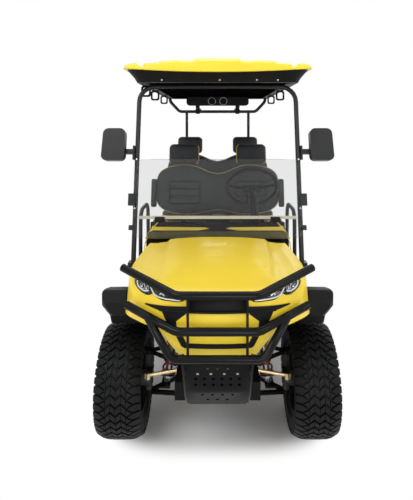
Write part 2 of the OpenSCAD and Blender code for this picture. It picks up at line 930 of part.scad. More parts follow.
module mirrors() {
    post_side = post_x + post_r + seat_gap;
    color("black")
        along_post()
            both_sides()
                difference() {
                    union() {
                        along_y(-66, 0)
                            translate([mirror_x, mirror_up])
                                polygon(mirror_form(154, 214, 34));
                        // Arm and the plate that holds it on the post
                        block([post_side, -24, mirror_up - 60], [mirror_x - 60, 10, mirror_up - 26]);
                        block([post_side, -20, mirror_up - 96], [post_side + 13, 20, mirror_up - 2]);
                    }
                    along_y(-8, 1)
                        translate([mirror_x, mirror_up])
                            polygon(mirror_form(138, 198, 28));
                }
}

module mirror_glass() {
    color("silver")
        along_post()
            both_sides()
                along_y(-8, -4)
                    translate([mirror_x, mirror_up])
                        polygon(mirror_form(137, 197, 28));
}

// Roof

// Columns across the roof: share of the half width, height above the crown's curve
roof_ribs = [[0, 26], [0.225, 26], [0.25, 8], [0.38, 6], [0.41, 20], [0.6, 18], [0.64, 4], [0.78, 2],
    [0.795, -14], [0.835, -14], [0.855, 8], [0.94, 4], [0.985, -8], [1, -26]];
// Rows along the roof: distance behind its front end, shares of the width, the crown and the ribs
roof_steps = concat([[0, 0.955, 0.3, 0], [12, 0.98, 0.62, 0.6], [50, 1, 0.86, 1], [160, 1, 0.97, 1]],
    [for (k = [1 : 4]) [160 + (roof_length - 320) * k / 5, 1, 1, 1]],
    [[roof_length - 160, 0.995, 0.97, 1], [roof_length - 50, 0.97, 0.86, 1],
        [roof_length - 12, 0.94, 0.62, 0.6], [roof_length, 0.92, 0.3, 0]]);
function roof_point(c, s, side) =
    [side * c[0] * roof_half * s[1], roof_front + s[0],
        roof_z + max(6, s[2] * (54 - 14 * c[0] * c[0]) + s[3] * c[1])];
roof_loops = [for (s = roof_steps) concat(
    [[-roof_half * s[1], roof_front + s[0], roof_z]],
    [for (k = [len(roof_ribs) - 1 : -1 : 1]) roof_point(roof_ribs[k], s, -1)],
    [for (c = roof_ribs) roof_point(c, s, 1)],
    [[roof_half * s[1], roof_front + s[0], roof_z]])];

module roof_shell() {
    color("gold")
        difference() {
            loft(roof_loops);
            // Hollow between the ribs and the liner
            block([-roof_half + 130, roof_front + 150, roof_z - 1],
                [roof_half - 130, roof_front + roof_length - 150, roof_z + 30]);
        }
}

function liner_loop(w, y0, y1, z) =
    [for (p = round_box(2 * w, y1 - y0, 70)) [p[0], p[1] + (y0 + y1) / 2, z]];

module roof_liner() {
    y0 = roof_front + 12;
    y1 = roof_front + roof_length - 14;
    color("black")
        difference() {
            loft([liner_loop(roof_half - 75, y0 + 60, y1 - 60, liner_z),
                liner_loop(roof_half - 60, y0 + 45, y1 - 45, liner_z + 25),
                liner_loop(roof_half - 20, y0, y1, roof_z)]);
            loft([liner_loop(roof_half - 140, y0 + 140, y1 - 140, liner_z - 1),
                liner_loop(roof_half - 150, y0 + 150, y1 - 150, liner_z + 34)]);
        }
}

// Rear roof frame: bar below the roof, ends up to the liner, posts down to the deck
frame_y = rear_y + 300;
bar_z = liner_z - 139;
bar_r = 16;

module rear_roof_frame() {
    color("dimgray")
        union() {
            tube(round_path([[-500, frame_y, liner_z - seat_gap], [-500, frame_y, liner_z - 32],
                [-400, frame_y, bar_z], [400, frame_y, bar_z], [500, frame_y, liner_z - 32],
                [500, frame_y, liner_z - seat_gap]], 60), bar_r, [0, 1, 0]);
            both_sides()
                translate([324, frame_y, deck_z])
                    cylinder(r = bar_r - 2, h = bar_z - deck_z);
        }
}

// Hand loops under the liner, the first one behind the right-hand post; columns: side, y
loops = [[-1, post_y + post_length * sin(post_lean) + 91], [-1, 1150], [-1, 1757], [1, 1150], [1, 1757]];

module grab_handles() {
    color("dimgray")
        for (l = loops)
            translate([l[0] * (roof_half - 100), l[1], liner_z - 40])
                along_y(-7, 7)
                    difference() {
                        polygon(round_box(70, 80, 18));
                        polygon(round_box(42, 52, 10));
                    }
}

module sound_bar() {
    y1 = frame_y - 20;
    color("black")
        union() {
            along_y(y1 - 92, y1)
                translate([0, liner_z - 35])
                    polygon(round_box(640, 88, 30));
            both_sides()
                difference() {
                    along_y(y1 - 60, y1 + 44)
                        polygon([[188, bar_z - 24], [228, bar_z - 24], [228, liner_z - 65],
                            [188, liner_z - 65]]);
                    translate([150, frame_y, bar_z])
                        rotate([0, 90, 0])
                            cylinder(r = bar_r + seat_gap, h = 120);
                    block([150, y1 - 100, bar_z - 30], [260, frame_y - bar_r - 12, bar_z + 40]);
                }
        }
}

// Seats

seat_y = 720;
seat_end = 1240;
// Hip rails: middle x and height of their tops
hip_x = max(box_half + 90, cushion_half + 40);
hip_z = box_z + 313;
hip_low = floor_z + 2 * seat_gap;
back_foot = [[1112, box_z + 195], [rear_y + 30, deck_z + 190]];

module seat_box() {
    wall = 14;
    color("gold")
        difference() {
            block([-box_half, seat_y, floor_z], [box_half, seat_end, box_z]);
            block([-box_half + wall, seat_y + wall, floor_z - 1],
                [box_half - wall, seat_end - wall, box_z - wall]);
        }
}

module battery_pack() {
    color("dimgray")
        block([-330, seat_y + 60, floor_z], [330, seat_end - 90, floor_z + 250]);
}

module seat_cushions() {
    color("black") {
        translate([0, 885, box_z])
            pad(2 * cushion_half, 480, cushion_t, 60, 34);
        translate([0, rear_y - 160, deck_z])
            pad(2 * cushion_half, 470, cushion_t, 60, 34);
    }
}

// Outline of a backrest: two broad lobes with a waist between them
function back_point(a) =
    let (c = cos(a), s = sin(a),
        x = cushion_half * sign(c) * sqrt(abs(c)),
        z = sign(s) * sqrt(abs(s)),
        waist = exp(-pow(x / 150, 2)))
    [x, back_h / 2 * (1 + z * (1 - waist * (z > 0 ? 0.36 : 0.12)))];

module at_back(row) {
    translate([0, back_foot[row][0], back_foot[row][1]])
        rotate([-back_lean, 0, 0])
            children();
}

module seat_backs() {
    color("black")
        for (row = [0, 1])
            at_back(row)
                along_y(0, back_t)
                    polygon([for (k = [0 : 47]) back_point(360 * (k + 0.5) / 48)]);
}

module headrests() {
    color("black")
        for (row = [0, 1])
            at_back(row)
                both_sides()
                    translate([282, back_t / 2 + 4, back_h + seat_gap])
                        pad(headrest_w, back_t - 8, headrest_h, 38, 26);
}

module seat_frames() {
    color("dimgray") {
        for (row = [0, 1])
            difference() {
                at_back(row)
                    union() {
                        both_sides()
                            block([268, back_t + seat_gap, -260], [298, back_t + 26, back_h + 110]);
                        block([-298, back_t + seat_gap, 180], [298, back_t + 26, 210]);
                    }
                block([-400, 0, 0], [400, back_foot[row][0] + 400, row == 0 ? box_z : deck_z]);
            }
        // Hip rails on the side steps
        both_sides()
            tube(round_path([[hip_x, 640, hip_low], [hip_x, 660, hip_z], [hip_x, 990, hip_z],
                [hip_x, 1010, hip_low]], 90, 5), 14, [1, 0, 0]);
    }
}

module armrests() {
    color("black")
        at_back(0)
            both_sides()
                translate([cushion_half + seat_gap, 20, 0])
                    along_x(0, 42)
                        translate([30, 176])
                            polygon(round_box(66, 230, 26));
}

// Rear body

module rear_body() {
    wall = 12;
    // Inner wall of the wheel arches
    arch_in = wheel_x - tyre_w / 2 - 19;
    tail = rear_y + 390;
    color("gold")
        difference() {
            along_x(-rear_half, rear_half)
                polygon([[rear_wall_y, rail_top], [rear_wall_y, deck_z - 30], [rear_wall_y + 30, deck_z],
                    [tail - 40, deck_z], [tail, deck_z - 40], [tail, 560], [tail - 30, rail_top]]);
            difference() {
                along_x(-rear_half + wall, rear_half - wall)
                    polygon([[rear_wall_y + wall, rail_top - 1], [rear_wall_y + wall, deck_z - 34],
                        [rear_wall_y + 34, deck_z - wall], [tail - 44, deck_z - wall],
                        [tail - wall, deck_z - 44], [tail - wall, 562], [tail - 42, rail_top - 1]]);
                // Walls round the wheel arches stay
                both_sides()
                    translate([arch_in - wall, rear_y, axle_z])
                        rotate([0, 90, 0])
                            cylinder(r = arch_r + wall, h = 200);
            }
            both_sides()
                translate([arch_in, rear_y, axle_z])
                    rotate([0, 90, 0])
                        cylinder(r = arch_r, h = 200);
        }
}

module tail_lamps() {
    tail = rear_y + 390;
    color("firebrick")
        both_sides()
            along_y(tail, tail + 18)
                translate([372, 690])
                    polygon(round_box(130, 90, 24));
}

// Hitch: outer and inner size of its square tube and radius of its pin
hitch_out = 64;
hitch_in = 51;
hitch_pin_r = 8;
hitch_z = rail_low + 32;

module rear_bumper() {
    tail = rear_y + 370;
    bar = [[-430, tail + 44, 540], [-380, rear_end - 24, 520], [380, rear_end - 24, 520],
        [430, tail + 44, 540]];
    color("black")
        difference() {
            union() {
                tube(round_path(bar, 50), 24, [0, 0, 1]);
                both_sides()
                    along_x(rail_x - 20, rail_x + 20)
                        polygon([[tail, rail_low + 4], [rear_end - 40, 505], [rear_end - 40, 540],
                            [tail, rail_top]]);
                block([-rail_x, tail, rail_low + 4], [rail_x, tail + 14, rail_low + 60]);
                block([-hitch_out / 2, tail + 1, hitch_z - hitch_out / 2],
                    [hitch_out / 2, rear_end, hitch_z + hitch_out / 2]);
            }
            block([-hitch_in / 2, tail + 14, hitch_z - hitch_in / 2],
                [hitch_in / 2, rear_end + 1, hitch_z + hitch_in / 2]);
            translate([-100, rear_end - 45, hitch_z])
                rotate([0, 90, 0])
                    cylinder(r = hitch_pin_r + 0.2, h = 200);
        }
}

from_axle() chassis_frame();
from_axle() skid_plate();
from_axle() nudge_bar();
from_axle() control_arms();
from_axle() dampers();
from_axle() coil_springs();
from_axle() steering_rack();
from_axle() front_cowl();
from_axle() grille_trim();
from_axle() headlamp_housings();
from_axle() headlamp_lenses();
from_axle() fender_flares();
from_axle() cowl_panel();
from_axle() dashboard();
from_axle() steering_column();
from_axle() pedals();
from_axle() windscreen_lower();
from_axle() windscreen_upper();
from_axle() front_posts();
from_axle() mirrors();
from_axle() mirror_glass();
from_axle() roof_shell();
from_axle() roof_liner();
from_axle() rear_roof_frame();
from_axle() grab_handles();
from_axle() sound_bar();
from_axle() floor_pan();
from_axle() side_steps();
from_axle() seat_box();
from_axle() battery_pack();
from_axle() seat_cushions();
from_axle() seat_backs();
from_axle() headrests();
from_axle() seat_frames();
from_axle() armrests();
from_axle() rear_body();
from_axle() tail_lamps();
from_axle() rear_bumper();
from_axle() rear_axle();
from_axle() drive_motor();
from_axle() leaf_springs();
from_axle() steering_wheel();
from_axle() tie_rods();
from_axle() knuckle_left();
from_axle() knuckle_right();
from_axle() tyre_front_left();
from_axle() tyre_front_right();
from_axle() tyre_rear_left();
from_axle() tyre_rear_right();
from_axle() rim_front_left();
from_axle() rim_front_right();
from_axle() rim_rear_left();
from_axle() rim_rear_right();
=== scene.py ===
"""Looks of a lifted open electric cart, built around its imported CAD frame.

The frame is the CAD's own, in metres: +Z up, the nose towards -Y, the driver on the +X side. Shapes that
repeat those of the CAD source are worked out in millimetres, with y counted back from the front axle, and
`axle_frame` turns them into metres.
"""

from __future__ import annotations

import json
import logging
import math
from collections.abc import Iterator
from dataclasses import dataclass, field
from enum import Enum

import bmesh
import bpy
import numpy as np
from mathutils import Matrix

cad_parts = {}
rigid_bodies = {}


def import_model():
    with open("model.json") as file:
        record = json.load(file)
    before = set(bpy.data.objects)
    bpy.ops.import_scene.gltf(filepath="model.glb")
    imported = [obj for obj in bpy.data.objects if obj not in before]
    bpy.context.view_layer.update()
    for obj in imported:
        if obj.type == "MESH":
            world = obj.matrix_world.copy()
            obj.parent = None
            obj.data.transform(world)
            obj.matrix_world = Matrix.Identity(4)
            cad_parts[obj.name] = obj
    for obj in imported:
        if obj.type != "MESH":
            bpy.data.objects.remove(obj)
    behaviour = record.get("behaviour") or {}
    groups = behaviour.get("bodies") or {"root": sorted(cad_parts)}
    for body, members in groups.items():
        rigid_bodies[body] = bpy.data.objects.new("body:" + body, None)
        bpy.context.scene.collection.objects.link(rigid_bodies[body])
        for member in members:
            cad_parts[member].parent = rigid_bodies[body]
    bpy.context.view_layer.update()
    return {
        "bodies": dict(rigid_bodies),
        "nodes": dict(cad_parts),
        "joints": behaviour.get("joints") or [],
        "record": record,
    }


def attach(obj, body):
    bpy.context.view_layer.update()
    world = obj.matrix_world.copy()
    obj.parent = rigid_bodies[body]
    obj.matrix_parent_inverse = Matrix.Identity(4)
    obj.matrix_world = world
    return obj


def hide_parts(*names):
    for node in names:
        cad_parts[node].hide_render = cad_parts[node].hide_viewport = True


LOG = logging.getLogger("cart")
FRONT_AXLE_Y = -0.930
WHEELBASE = 1.900
AXLE_Z = 0.292
WHEEL_X = 0.510
CHASSIS = "chassis"
SHARP_DEG = 35.0
FLAT_DEG = 1.0
WELD = 0.00002
MIRROR = np.array([-1.0, 1.0, 1.0])
UPRIGHT = np.array([[1.0, 0, 0], [0, 0, 1.0], [0, -1.0, 0]])
# A part of a piece: its points and its faces
Part = tuple[np.ndarray, list]


# Places


def axle_frame(points: np.ndarray) -> np.ndarray:
    """Turns millimetres, with y counted back from the front axle, into metres of the CAD's frame."""
    return np.asarray(points, dtype=float) / 1000.0 + np.array([0.0, FRONT_AXLE_Y, 0.0])


def in_axle_frame(parts: list[Part]) -> list[Part]:
    """Turns the points of several parts by `axle_frame`."""
    return [(axle_frame(points), faces) for points, faces in parts]


def wheel_places() -> Iterator[tuple[str, int, np.ndarray]]:
    """Goes through the wheels.

    Returns:
        End and side of each wheel as a name, the sign of its side and its middle in metres.
    """
    for end, y in (("front", FRONT_AXLE_Y), ("rear", FRONT_AXLE_Y + WHEELBASE)):
        for side, sign in (("left", 1), ("right", -1)):
            yield f"{end}_{side}", sign, np.array([sign * WHEEL_X, y, AXLE_Z])


# Lines and outlines


def unit(v: np.ndarray) -> np.ndarray:
    """Vectors of length one along the last axis."""
    return v / np.maximum(np.linalg.norm(v, axis=-1, keepdims=True), 1e-12)


def share(value: np.ndarray, start: float | np.ndarray, end: float | np.ndarray) -> np.ndarray:
    """Share of the way from start to end, kept between 0 and 1."""
    return np.clip((value - start) / (end - start), 0, 1)


def angles(count: int) -> np.ndarray:
    """Even angles round a circle, without the last one that meets the first."""
    return np.linspace(0, 2 * np.pi, count, endpoint=False)


def round_path(corners: list, bend: float, steps: int = 8) -> np.ndarray:
    """Path through corner points, each inner corner replaced by an arc of the radius bend.

    Args:
        corners: the corner points.
        bend: radius of the arcs.
        steps: points of one arc.

    Returns:
        The points of the path.
    """
    corners = [np.asarray(c, dtype=float) for c in corners]
    out = [corners[0][None]]
    for a, b, c in zip(corners, corners[1:], corners[2:]):
        u, v = unit(a - b), unit(c - b)
        half = math.acos(float(np.clip(u @ v, -1, 1))) / 2
        middle = b + unit(u + v) * bend / math.sin(half)
        e = unit(b + u * bend / math.tan(half) - middle)
        q = b + v * bend / math.tan(half) - middle
        w = unit(q - e * (q @ e))
        t = np.linspace(0, math.pi - 2 * half, steps)[:, None]
        out.append(middle + bend * (np.cos(t) * e + np.sin(t) * w))
    out.append(corners[-1][None])
    return np.concatenate(out)


def spline_rows(table: tuple | np.ndarray, count: int) -> np.ndarray:
    """Smooth rows between the rows of a table, on a Catmull-Rom curve through them.

    Args:
        table: rows of values.
        count: rows wanted.

    Returns:
        The denser table.
    """
    table = np.asarray(table, dtype=float)
    padded = np.concatenate([2 * table[:1] - table[1:2], table, 2 * table[-1:] - table[-2:-1]])
    t = np.linspace(0, len(table) - 1, count)
    k = np.minimum(t.astype(int), len(table) - 2)
    f = (t - k)[:, None]
    p0, p1, p2, p3 = (padded[k + n] for n in range(4))
    bent = (2 * p0 - 5 * p1 + 4 * p2 - p3) * f**2
    return 0.5 * (2 * p1 + (p2 - p0) * f + bent + (3 * p1 - p0 - 3 * p2 + p3) * f**3)


def divided(line: tuple | np.ndarray, steps: int) -> np.ndarray:
    """Line with straight pieces, each divided into the same number of steps.

    Args:
        line: the corner points.
        steps: steps of one piece.

    Returns:
        The points of the line.
    """
    line = np.asarray(line, dtype=float)
    k = np.arange(len(line))
    t = np.linspace(0, len(line) - 1, (len(line) - 1) * steps + 1)
    return np.stack([np.interp(t, k, column) for column in line.T], axis=-1)


def rounded_box(w: float, h: float, r: float, steps: int = 8) -> np.ndarray:
    """Outline of a rounded rectangle round the origin, counter-clockwise.

    Args:
        w: width.
        h: height.
        r: radius of the corners.
        steps: points of one corner.

    Returns:
        The points, corner by corner from the upper right one.
    """
    a = np.linspace(0, np.pi / 2, steps) + np.arange(4)[:, None] * np.pi / 2
    corners = np.array([(1, 1), (-1, 1), (-1, -1), (1, -1)]) * np.array([w / 2 - r, h / 2 - r])
    return (corners[:, None] + r * np.stack([np.cos(a), np.sin(a)], axis=-1)).reshape(-1, 2)


# Meshes


def grid_faces(rows: int, cols: int, wrap_rows: bool = False, wrap_cols: bool = False) -> list:
    """Quads of a grid of points numbered row by row.

    Args:
        rows: number of rows.
        cols: number of columns.
        wrap_rows: whether the last row joins the first one.
        wrap_cols: whether the last column joins the first one.

    Returns:
        Four point numbers a face.
    """
    i = np.arange(rows if wrap_rows else rows - 1)
    j = np.arange(cols if wrap_cols else cols - 1)
    i, j = np.meshgrid(i, j, indexing="ij")
    i2, j2 = (i + 1) % rows, (j + 1) % cols
    quads = np.stack([i * cols + j, i * cols + j2, i2 * cols + j2, i2 * cols + j], axis=-1)
    return quads.reshape(-1, 4).tolist()


def join_parts(parts: list[Part]) -> Part:
    """Puts several point and face lists into one.

    Args:
        parts: pairs of points and faces.

    Returns:
        All points and all faces, renumbered.
    """
    verts, faces, base = [], [], 0
    for points, polygons in parts:
        flat = np.asarray(points, dtype=float).reshape(-1, 3)
        verts.append(flat)
        faces.extend([[int(k) + base for k in f] for f in polygons])
        base += len(flat)
    return np.concatenate(verts), faces


def mirrored(parts: list[Part]) -> list[Part]:
    """The parts and their mirror images on the other side of the cart."""
    return parts + [(np.asarray(v) * MIRROR, f) for v, f in parts]


def sweep(path: np.ndarray, radius: float | np.ndarray, face: tuple, sides: int, closed: bool = False,
          flat: float = 1.0) -> Part:
    """Round bar along a path: at each point a circle stands square to the path's direction.

    Args:
        path: points of the path.
        radius: radius, or one for each point.
        face: a direction that the path never takes.
        sides: points round the bar.
        closed: whether the path joins its own start.
        flat: share by which the bar is flattened along its second direction.

    Returns:
        Points and faces.
    """
    path = np.asarray(path, dtype=float)
    if closed:
        tangent = np.roll(path, -1, axis=0) - np.roll(path, 1, axis=0)
    else:
        tangent = np.gradient(path, axis=0)
    tangent = unit(tangent)
    u = unit(np.cross(tangent, np.asarray(face, dtype=float)))
    v = np.cross(tangent, u)
    a = angles(sides)[None, :, None]
    r = np.broadcast_to(np.asarray(radius, dtype=float).reshape(-1, 1, 1), (len(path), 1, 1))
    points = path[:, None] + r * (np.cos(a) * u[:, None] + flat * np.sin(a) * v[:, None])
    faces = grid_faces(len(path), sides, wrap_rows=closed, wrap_cols=True)
    if not closed:
        faces.append(list(range(sides))[::-1])
        faces.append([(len(path) - 1) * sides + k for k in range(sides)])
    return points, faces


def plate(outline: np.ndarray, thickness: float, edge: float, origin: tuple | np.ndarray,
          axes: np.ndarray) -> Part:
    """Slab over an outline, with its edges taken off by a small slope.

    Args:
        outline: outline points, counter-clockwise about the third axis.
        thickness: depth along the third axis.
        edge: width of the slope.
        origin: place of the outline's zero point.
        axes: three rows, the directions of the outline's two coordinates and of the depth.

    Returns:
        Points and faces.
    """
    outline = np.asarray(outline, dtype=float)
    along = unit(np.roll(outline, -1, axis=0) - np.roll(outline, 1, axis=0))
    out = np.stack([along[:, 1], -along[:, 0]], axis=-1)
    rings = [np.concatenate([outline - inset * out, np.full((len(outline), 1), h)], axis=1)
             for inset, h in ((edge, 0.0), (0.0, edge), (0.0, thickness - edge), (edge, thickness))]
    n = len(outline)
    faces = grid_faces(4, n, wrap_cols=True) + [list(range(n))[::-1], [3 * n + k for k in range(n)]]
    return np.asarray(origin) + np.stack(rings) @ np.asarray(axes), faces


def stud(foot: tuple | np.ndarray, way: tuple | np.ndarray, radius: float, height: float,
         sides: int = 6) -> Part:
    """Bolt or screw head that stands on a face, with a sloped rim and a slightly domed top.

    Args:
        foot: middle of its foot.
        way: direction that it stands in.
        radius: its radius.
        height: its height.
        sides: 6 for a nut, more for a round head.

    Returns:
        Points and faces.
    """
    way = unit(np.asarray(way, dtype=float))
    face = (0.0, 0.0, 1.0) if abs(way[2]) < 0.9 else (0.0, 1.0, 0.0)
    up = np.array([0.0, 0.75, 0.92, 1.0]) * height
    radii = np.array([1.0, 1.0, 0.86, 0.4]) * radius
    return sweep(np.asarray(foot) + up[:, None] * way, radii, face, sides)


def make_object(name: str, verts: np.ndarray, faces: list, material: bpy.types.Material, merge: float = 0.0,
                plain: bool = False) -> bpy.types.Object:
    """Makes a mesh object at the origin from points and faces.

    Args:
        name: name of the piece.
        verts: points in metres.
        faces: lists of point numbers.
        material: the finish.
        merge: distance within which points become one; 0 merges nothing.
        plain: whether faces stay flat and keep their side, instead of smooth ones that are turned outwards.

    Returns:
        The new object.
    """
    mesh = bpy.data.meshes.new(name)
    points = np.asarray(verts, dtype=float).reshape(-1, 3)
    mesh.from_pydata(points.tolist(), [], [list(map(int, f)) for f in faces])
    mesh.validate()
    mesh.materials.append(material)
    if not plain:
        work = bmesh.new()
        work.from_mesh(mesh)
        if merge:
            bmesh.ops.remove_doubles(work, verts=work.verts, dist=merge)
        bmesh.ops.recalc_face_normals(work, faces=work.faces)
        work.to_mesh(mesh)
        work.free()
        shade_smooth(mesh, SHARP_DEG)
    return link_object(name, mesh)


def shade_smooth(mesh: bpy.types.Mesh, angle: float) -> None:
    """Shades all faces smooth and keeps edges sharp that are sharper than the angle in degrees."""
    mesh.polygons.foreach_set("use_smooth", [True] * len(mesh.polygons))
    mesh.set_sharp_from_angle(angle=math.radians(angle))


def link_object(name: str, data: bpy.types.ID) -> bpy.types.Object:
    """Puts a new object into the scene.

    Args:
        name: its name.
        data: its mesh, camera or lamp.

    Returns:
        The object.
    """
    obj = bpy.data.objects.new(name, data)
    bpy.context.collection.objects.link(obj)
    return obj


def round_edges(obj: bpy.types.Object, width: float, angle: float, harden: bool) -> None:
    """Rounds the edges of a piece that are sharper than an angle.

    Args:
        obj: the piece.
        width: width of the rounding in metres.
        angle: the angle in degrees.
        harden: whether the faces beside the edges keep their own shading.
    """
    mod = obj.modifiers.new("edges", "BEVEL")
    mod.width, mod.segments = width, 2
    mod.limit_method, mod.angle_limit = "ANGLE", math.radians(angle)
    mod.harden_normals = harden


# Materials


class Bench:
    """Short hand for placing and joining the nodes of one node tree."""

    TONE_STOPS = (0.3, 0.7)

    def __init__(self, tree: bpy.types.NodeTree) -> None:
        """Keeps the tree to work on."""
        self.tree = tree

    def feed(self, socket: bpy.types.NodeSocket, value: object) -> None:
        """Sets a socket's value, or links it when the value is a socket.

        Args:
            socket: the socket to feed.
            value: a value, or the socket to link from.
        """
        if isinstance(value, bpy.types.NodeSocket):
            self.tree.links.new(value, socket)
        else:
            socket.default_value = value

    def fill(self, node: bpy.types.Node, **inputs: object) -> None:
        """Sets or links a node's inputs by name, with _ for a space."""
        for key, value in inputs.items():
            self.feed(node.inputs[key.replace("_", " ")], value)

    def add(self, kind: str, settings: dict | None = None, **inputs: object) -> bpy.types.Node:
        """Places a node.

        Args:
            kind: the node's type.
            settings: values of its own properties.
            inputs: socket values, or sockets to link from; names with _ for a space.

        Returns:
            The node.
        """
        node = self.tree.nodes.new(kind)
        for key, value in (settings or {}).items():
            setattr(node, key, value)
        self.fill(node, **inputs)
        return node

    def combine(self, kind: str, operation: str, first: object, second: object) -> bpy.types.Node:
        """Places a calculation with two values or vectors.

        Args:
            kind: the node's type, for values or for vectors.
            operation: what is done with the two.
            first: the first value or socket.
            second: the second value or socket.

        Returns:
            The node.
        """
        node = self.add(kind, {"operation": operation})
        self.feed(node.inputs[0], first)
        self.feed(node.inputs[1], second)
        return node

    def remap(self, value: bpy.types.NodeSocket, **limits: object) -> bpy.types.NodeSocket:
        """Value carried from one range into another; limits left out are 0 and 1."""
        return self.add("ShaderNodeMapRange", Value=value, **limits).outputs["Result"]

    def tones(self, factor: bpy.types.NodeSocket, shade: tuple, colour: tuple) -> bpy.types.NodeSocket:
        """Colour between a darker and a lighter tone.

        Args:
            factor: the value that is looked up.
            shade: the darker tone.
            colour: the lighter tone.

        Returns:
            The colour socket.
        """
        ramp = self.add("ShaderNodeValToRGB", Fac=factor)
        for element, place, tone in zip(ramp.color_ramp.elements, self.TONE_STOPS, (shade, colour)):
            element.position = place
            element.color = (*tone, 1.0)
        return ramp.outputs["Color"]


def new_group(name: str, inputs: list[tuple[str, str, object]], outputs: list[tuple[str, str]]) -> tuple:
    """Starts a shader node group with named sockets.

    Args:
        name: the group's name.
        inputs: name, socket type and default of each input.
        outputs: name and socket type of each output.

    Returns:
        The group, its bench, its input node and its output node.
    """
    group = bpy.data.node_groups.new(name, "ShaderNodeTree")
    for label, kind, default in inputs:
        group.interface.new_socket(label, in_out="INPUT", socket_type=kind).default_value = default
    for label, kind in outputs:
        group.interface.new_socket(label, in_out="OUTPUT", socket_type=kind)
    bench = Bench(group)
    return group, bench, group.nodes.new("NodeGroupInput"), group.nodes.new("NodeGroupOutput")


class Effects:
    """Node groups that more than one finish uses."""

    def __init__(self) -> None:
        """Builds the groups once."""
        self.grain = self._grain()
        self.dust = self._dust()

    @staticmethod
    def _grain() -> bpy.types.NodeTree:
        """Builds fine moulded or cast grain: fine noise as a height and broad noise as a mottle.

        Returns:
            The group.
        """
        number = "NodeSocketFloat"
        inputs = [("Scale", number, 400.0), ("Mottle Scale", number, 6.0)]
        group, b, src, out = new_group("fine_grain", inputs, [("Height", number), ("Mottle", number)])
        coords = b.add("ShaderNodeTexCoord").outputs["Object"]
        fine = b.add("ShaderNodeTexNoise", Vector=coords, Scale=src.outputs["Scale"], Detail=3.0,
                     Roughness=0.6)
        broad = b.add("ShaderNodeTexNoise", Vector=coords, Scale=src.outputs["Mottle Scale"], Detail=4.0,
                      Roughness=0.55)
        b.fill(out, Height=fine.outputs["Fac"], Mottle=broad.outputs["Fac"])
        return group

    @staticmethod
    def _dust() -> bpy.types.NodeTree:
        """Builds road dust: strongest near the ground, broken up by noise and mixed over a colour.

        Returns:
            The group.
        """
        tint, number = "NodeSocketColor", "NodeSocketFloat"
        group, b, src, out = new_group(
            "road_dust",
            [("Color", tint, (0.02, 0.02, 0.02, 1)), ("Dust", tint, (0.22, 0.19, 0.15, 1)),
             ("Amount", number, 0.3), ("Top", number, 0.7)],
            [("Color", tint)])
        coords = b.add("ShaderNodeTexCoord").outputs["Object"]
        z = b.add("ShaderNodeSeparateXYZ", Vector=coords).outputs["Z"]
        noise = b.add("ShaderNodeTexNoise", Vector=coords, Scale=22.0, Detail=6.0, Roughness=0.65)
        low = b.remap(z, From_Min=src.outputs["Top"], From_Max=0.0)
        patch = b.remap(noise.outputs["Fac"], From_Min=0.35, From_Max=0.75)
        mask = b.combine("ShaderNodeMath", "MULTIPLY", low, patch).outputs["Value"]
        scaled = b.combine("ShaderNodeMath", "MULTIPLY", mask, src.outputs["Amount"]).outputs["Value"]
        mix = b.add("ShaderNodeMix", {"data_type": "RGBA"}, Factor=scaled, A=src.outputs["Color"],
                    B=src.outputs["Dust"])
        b.fill(out, Color=mix.outputs["Result"])
        return group


@dataclass(frozen=True)
class Surface:
    """What every finish has: a name, a colour and a grain with a mottle."""

    name: str
    colour: tuple[float, float, float]

    def begin(self, effects: Effects, mottle: float, grain: float = 400.0) -> tuple:
        """Starts the material.

        Args:
            effects: the shared node groups.
            mottle: scale of the mottle.
            grain: scale of the fine grain.

        Returns:
            The material, its bench, its shader, and the sockets of the grain's height and of the mottle.
        """
        mat = bpy.data.materials.new(self.name)
        mat.use_nodes = True
        bench, shader = Bench(mat.node_tree), mat.node_tree.nodes["Principled BSDF"]
        node = bench.add("ShaderNodeGroup", {"node_tree": effects.grain}, Scale=grain, Mottle_Scale=mottle)
        return mat, bench, shader, node.outputs["Height"], node.outputs["Mottle"]


@dataclass(frozen=True)
class Finish(Surface):
    """Paint, plastic, rubber or metal: two tones, a range of roughness, grain as bump, and dust."""

    shade: tuple[float, float, float]
    roughness: tuple[float, float]
    metallic: float = 0.0
    coat: float = 0.0
    coat_roughness: float = 0.06
    grain: float = 400.0
    mottle: float = 6.0
    bump: float = 0.05
    bump_size: float = 0.0006
    dust: float = 0.0
    dust_top: float = 0.75
    specular: float = 0.5

    def material(self, effects: Effects) -> bpy.types.Material:
        """Builds the finish: mottled colour under dust, grain as bump, gloss that follows the mottle.

        Args:
            effects: the shared node groups.

        Returns:
            The material.
        """
        mat, b, shader, height, mottle = self.begin(effects, self.mottle, self.grain)
        colour = b.tones(mottle, self.shade, self.colour)
        if self.dust > 0:
            dust = b.add("ShaderNodeGroup", {"node_tree": effects.dust}, Color=colour, Amount=self.dust,
                         Top=self.dust_top)
            colour = dust.outputs["Color"]
        low, high = self.roughness
        bump = b.add("ShaderNodeBump", Strength=self.bump, Distance=self.bump_size, Height=height)
        b.fill(shader, Base_Color=colour, Roughness=b.remap(mottle, To_Min=low, To_Max=high),
               Normal=bump.outputs["Normal"], Metallic=self.metallic, Coat_Weight=self.coat,
               Coat_Roughness=self.coat_roughness, Specular_IOR_Level=self.specular)
        return mat


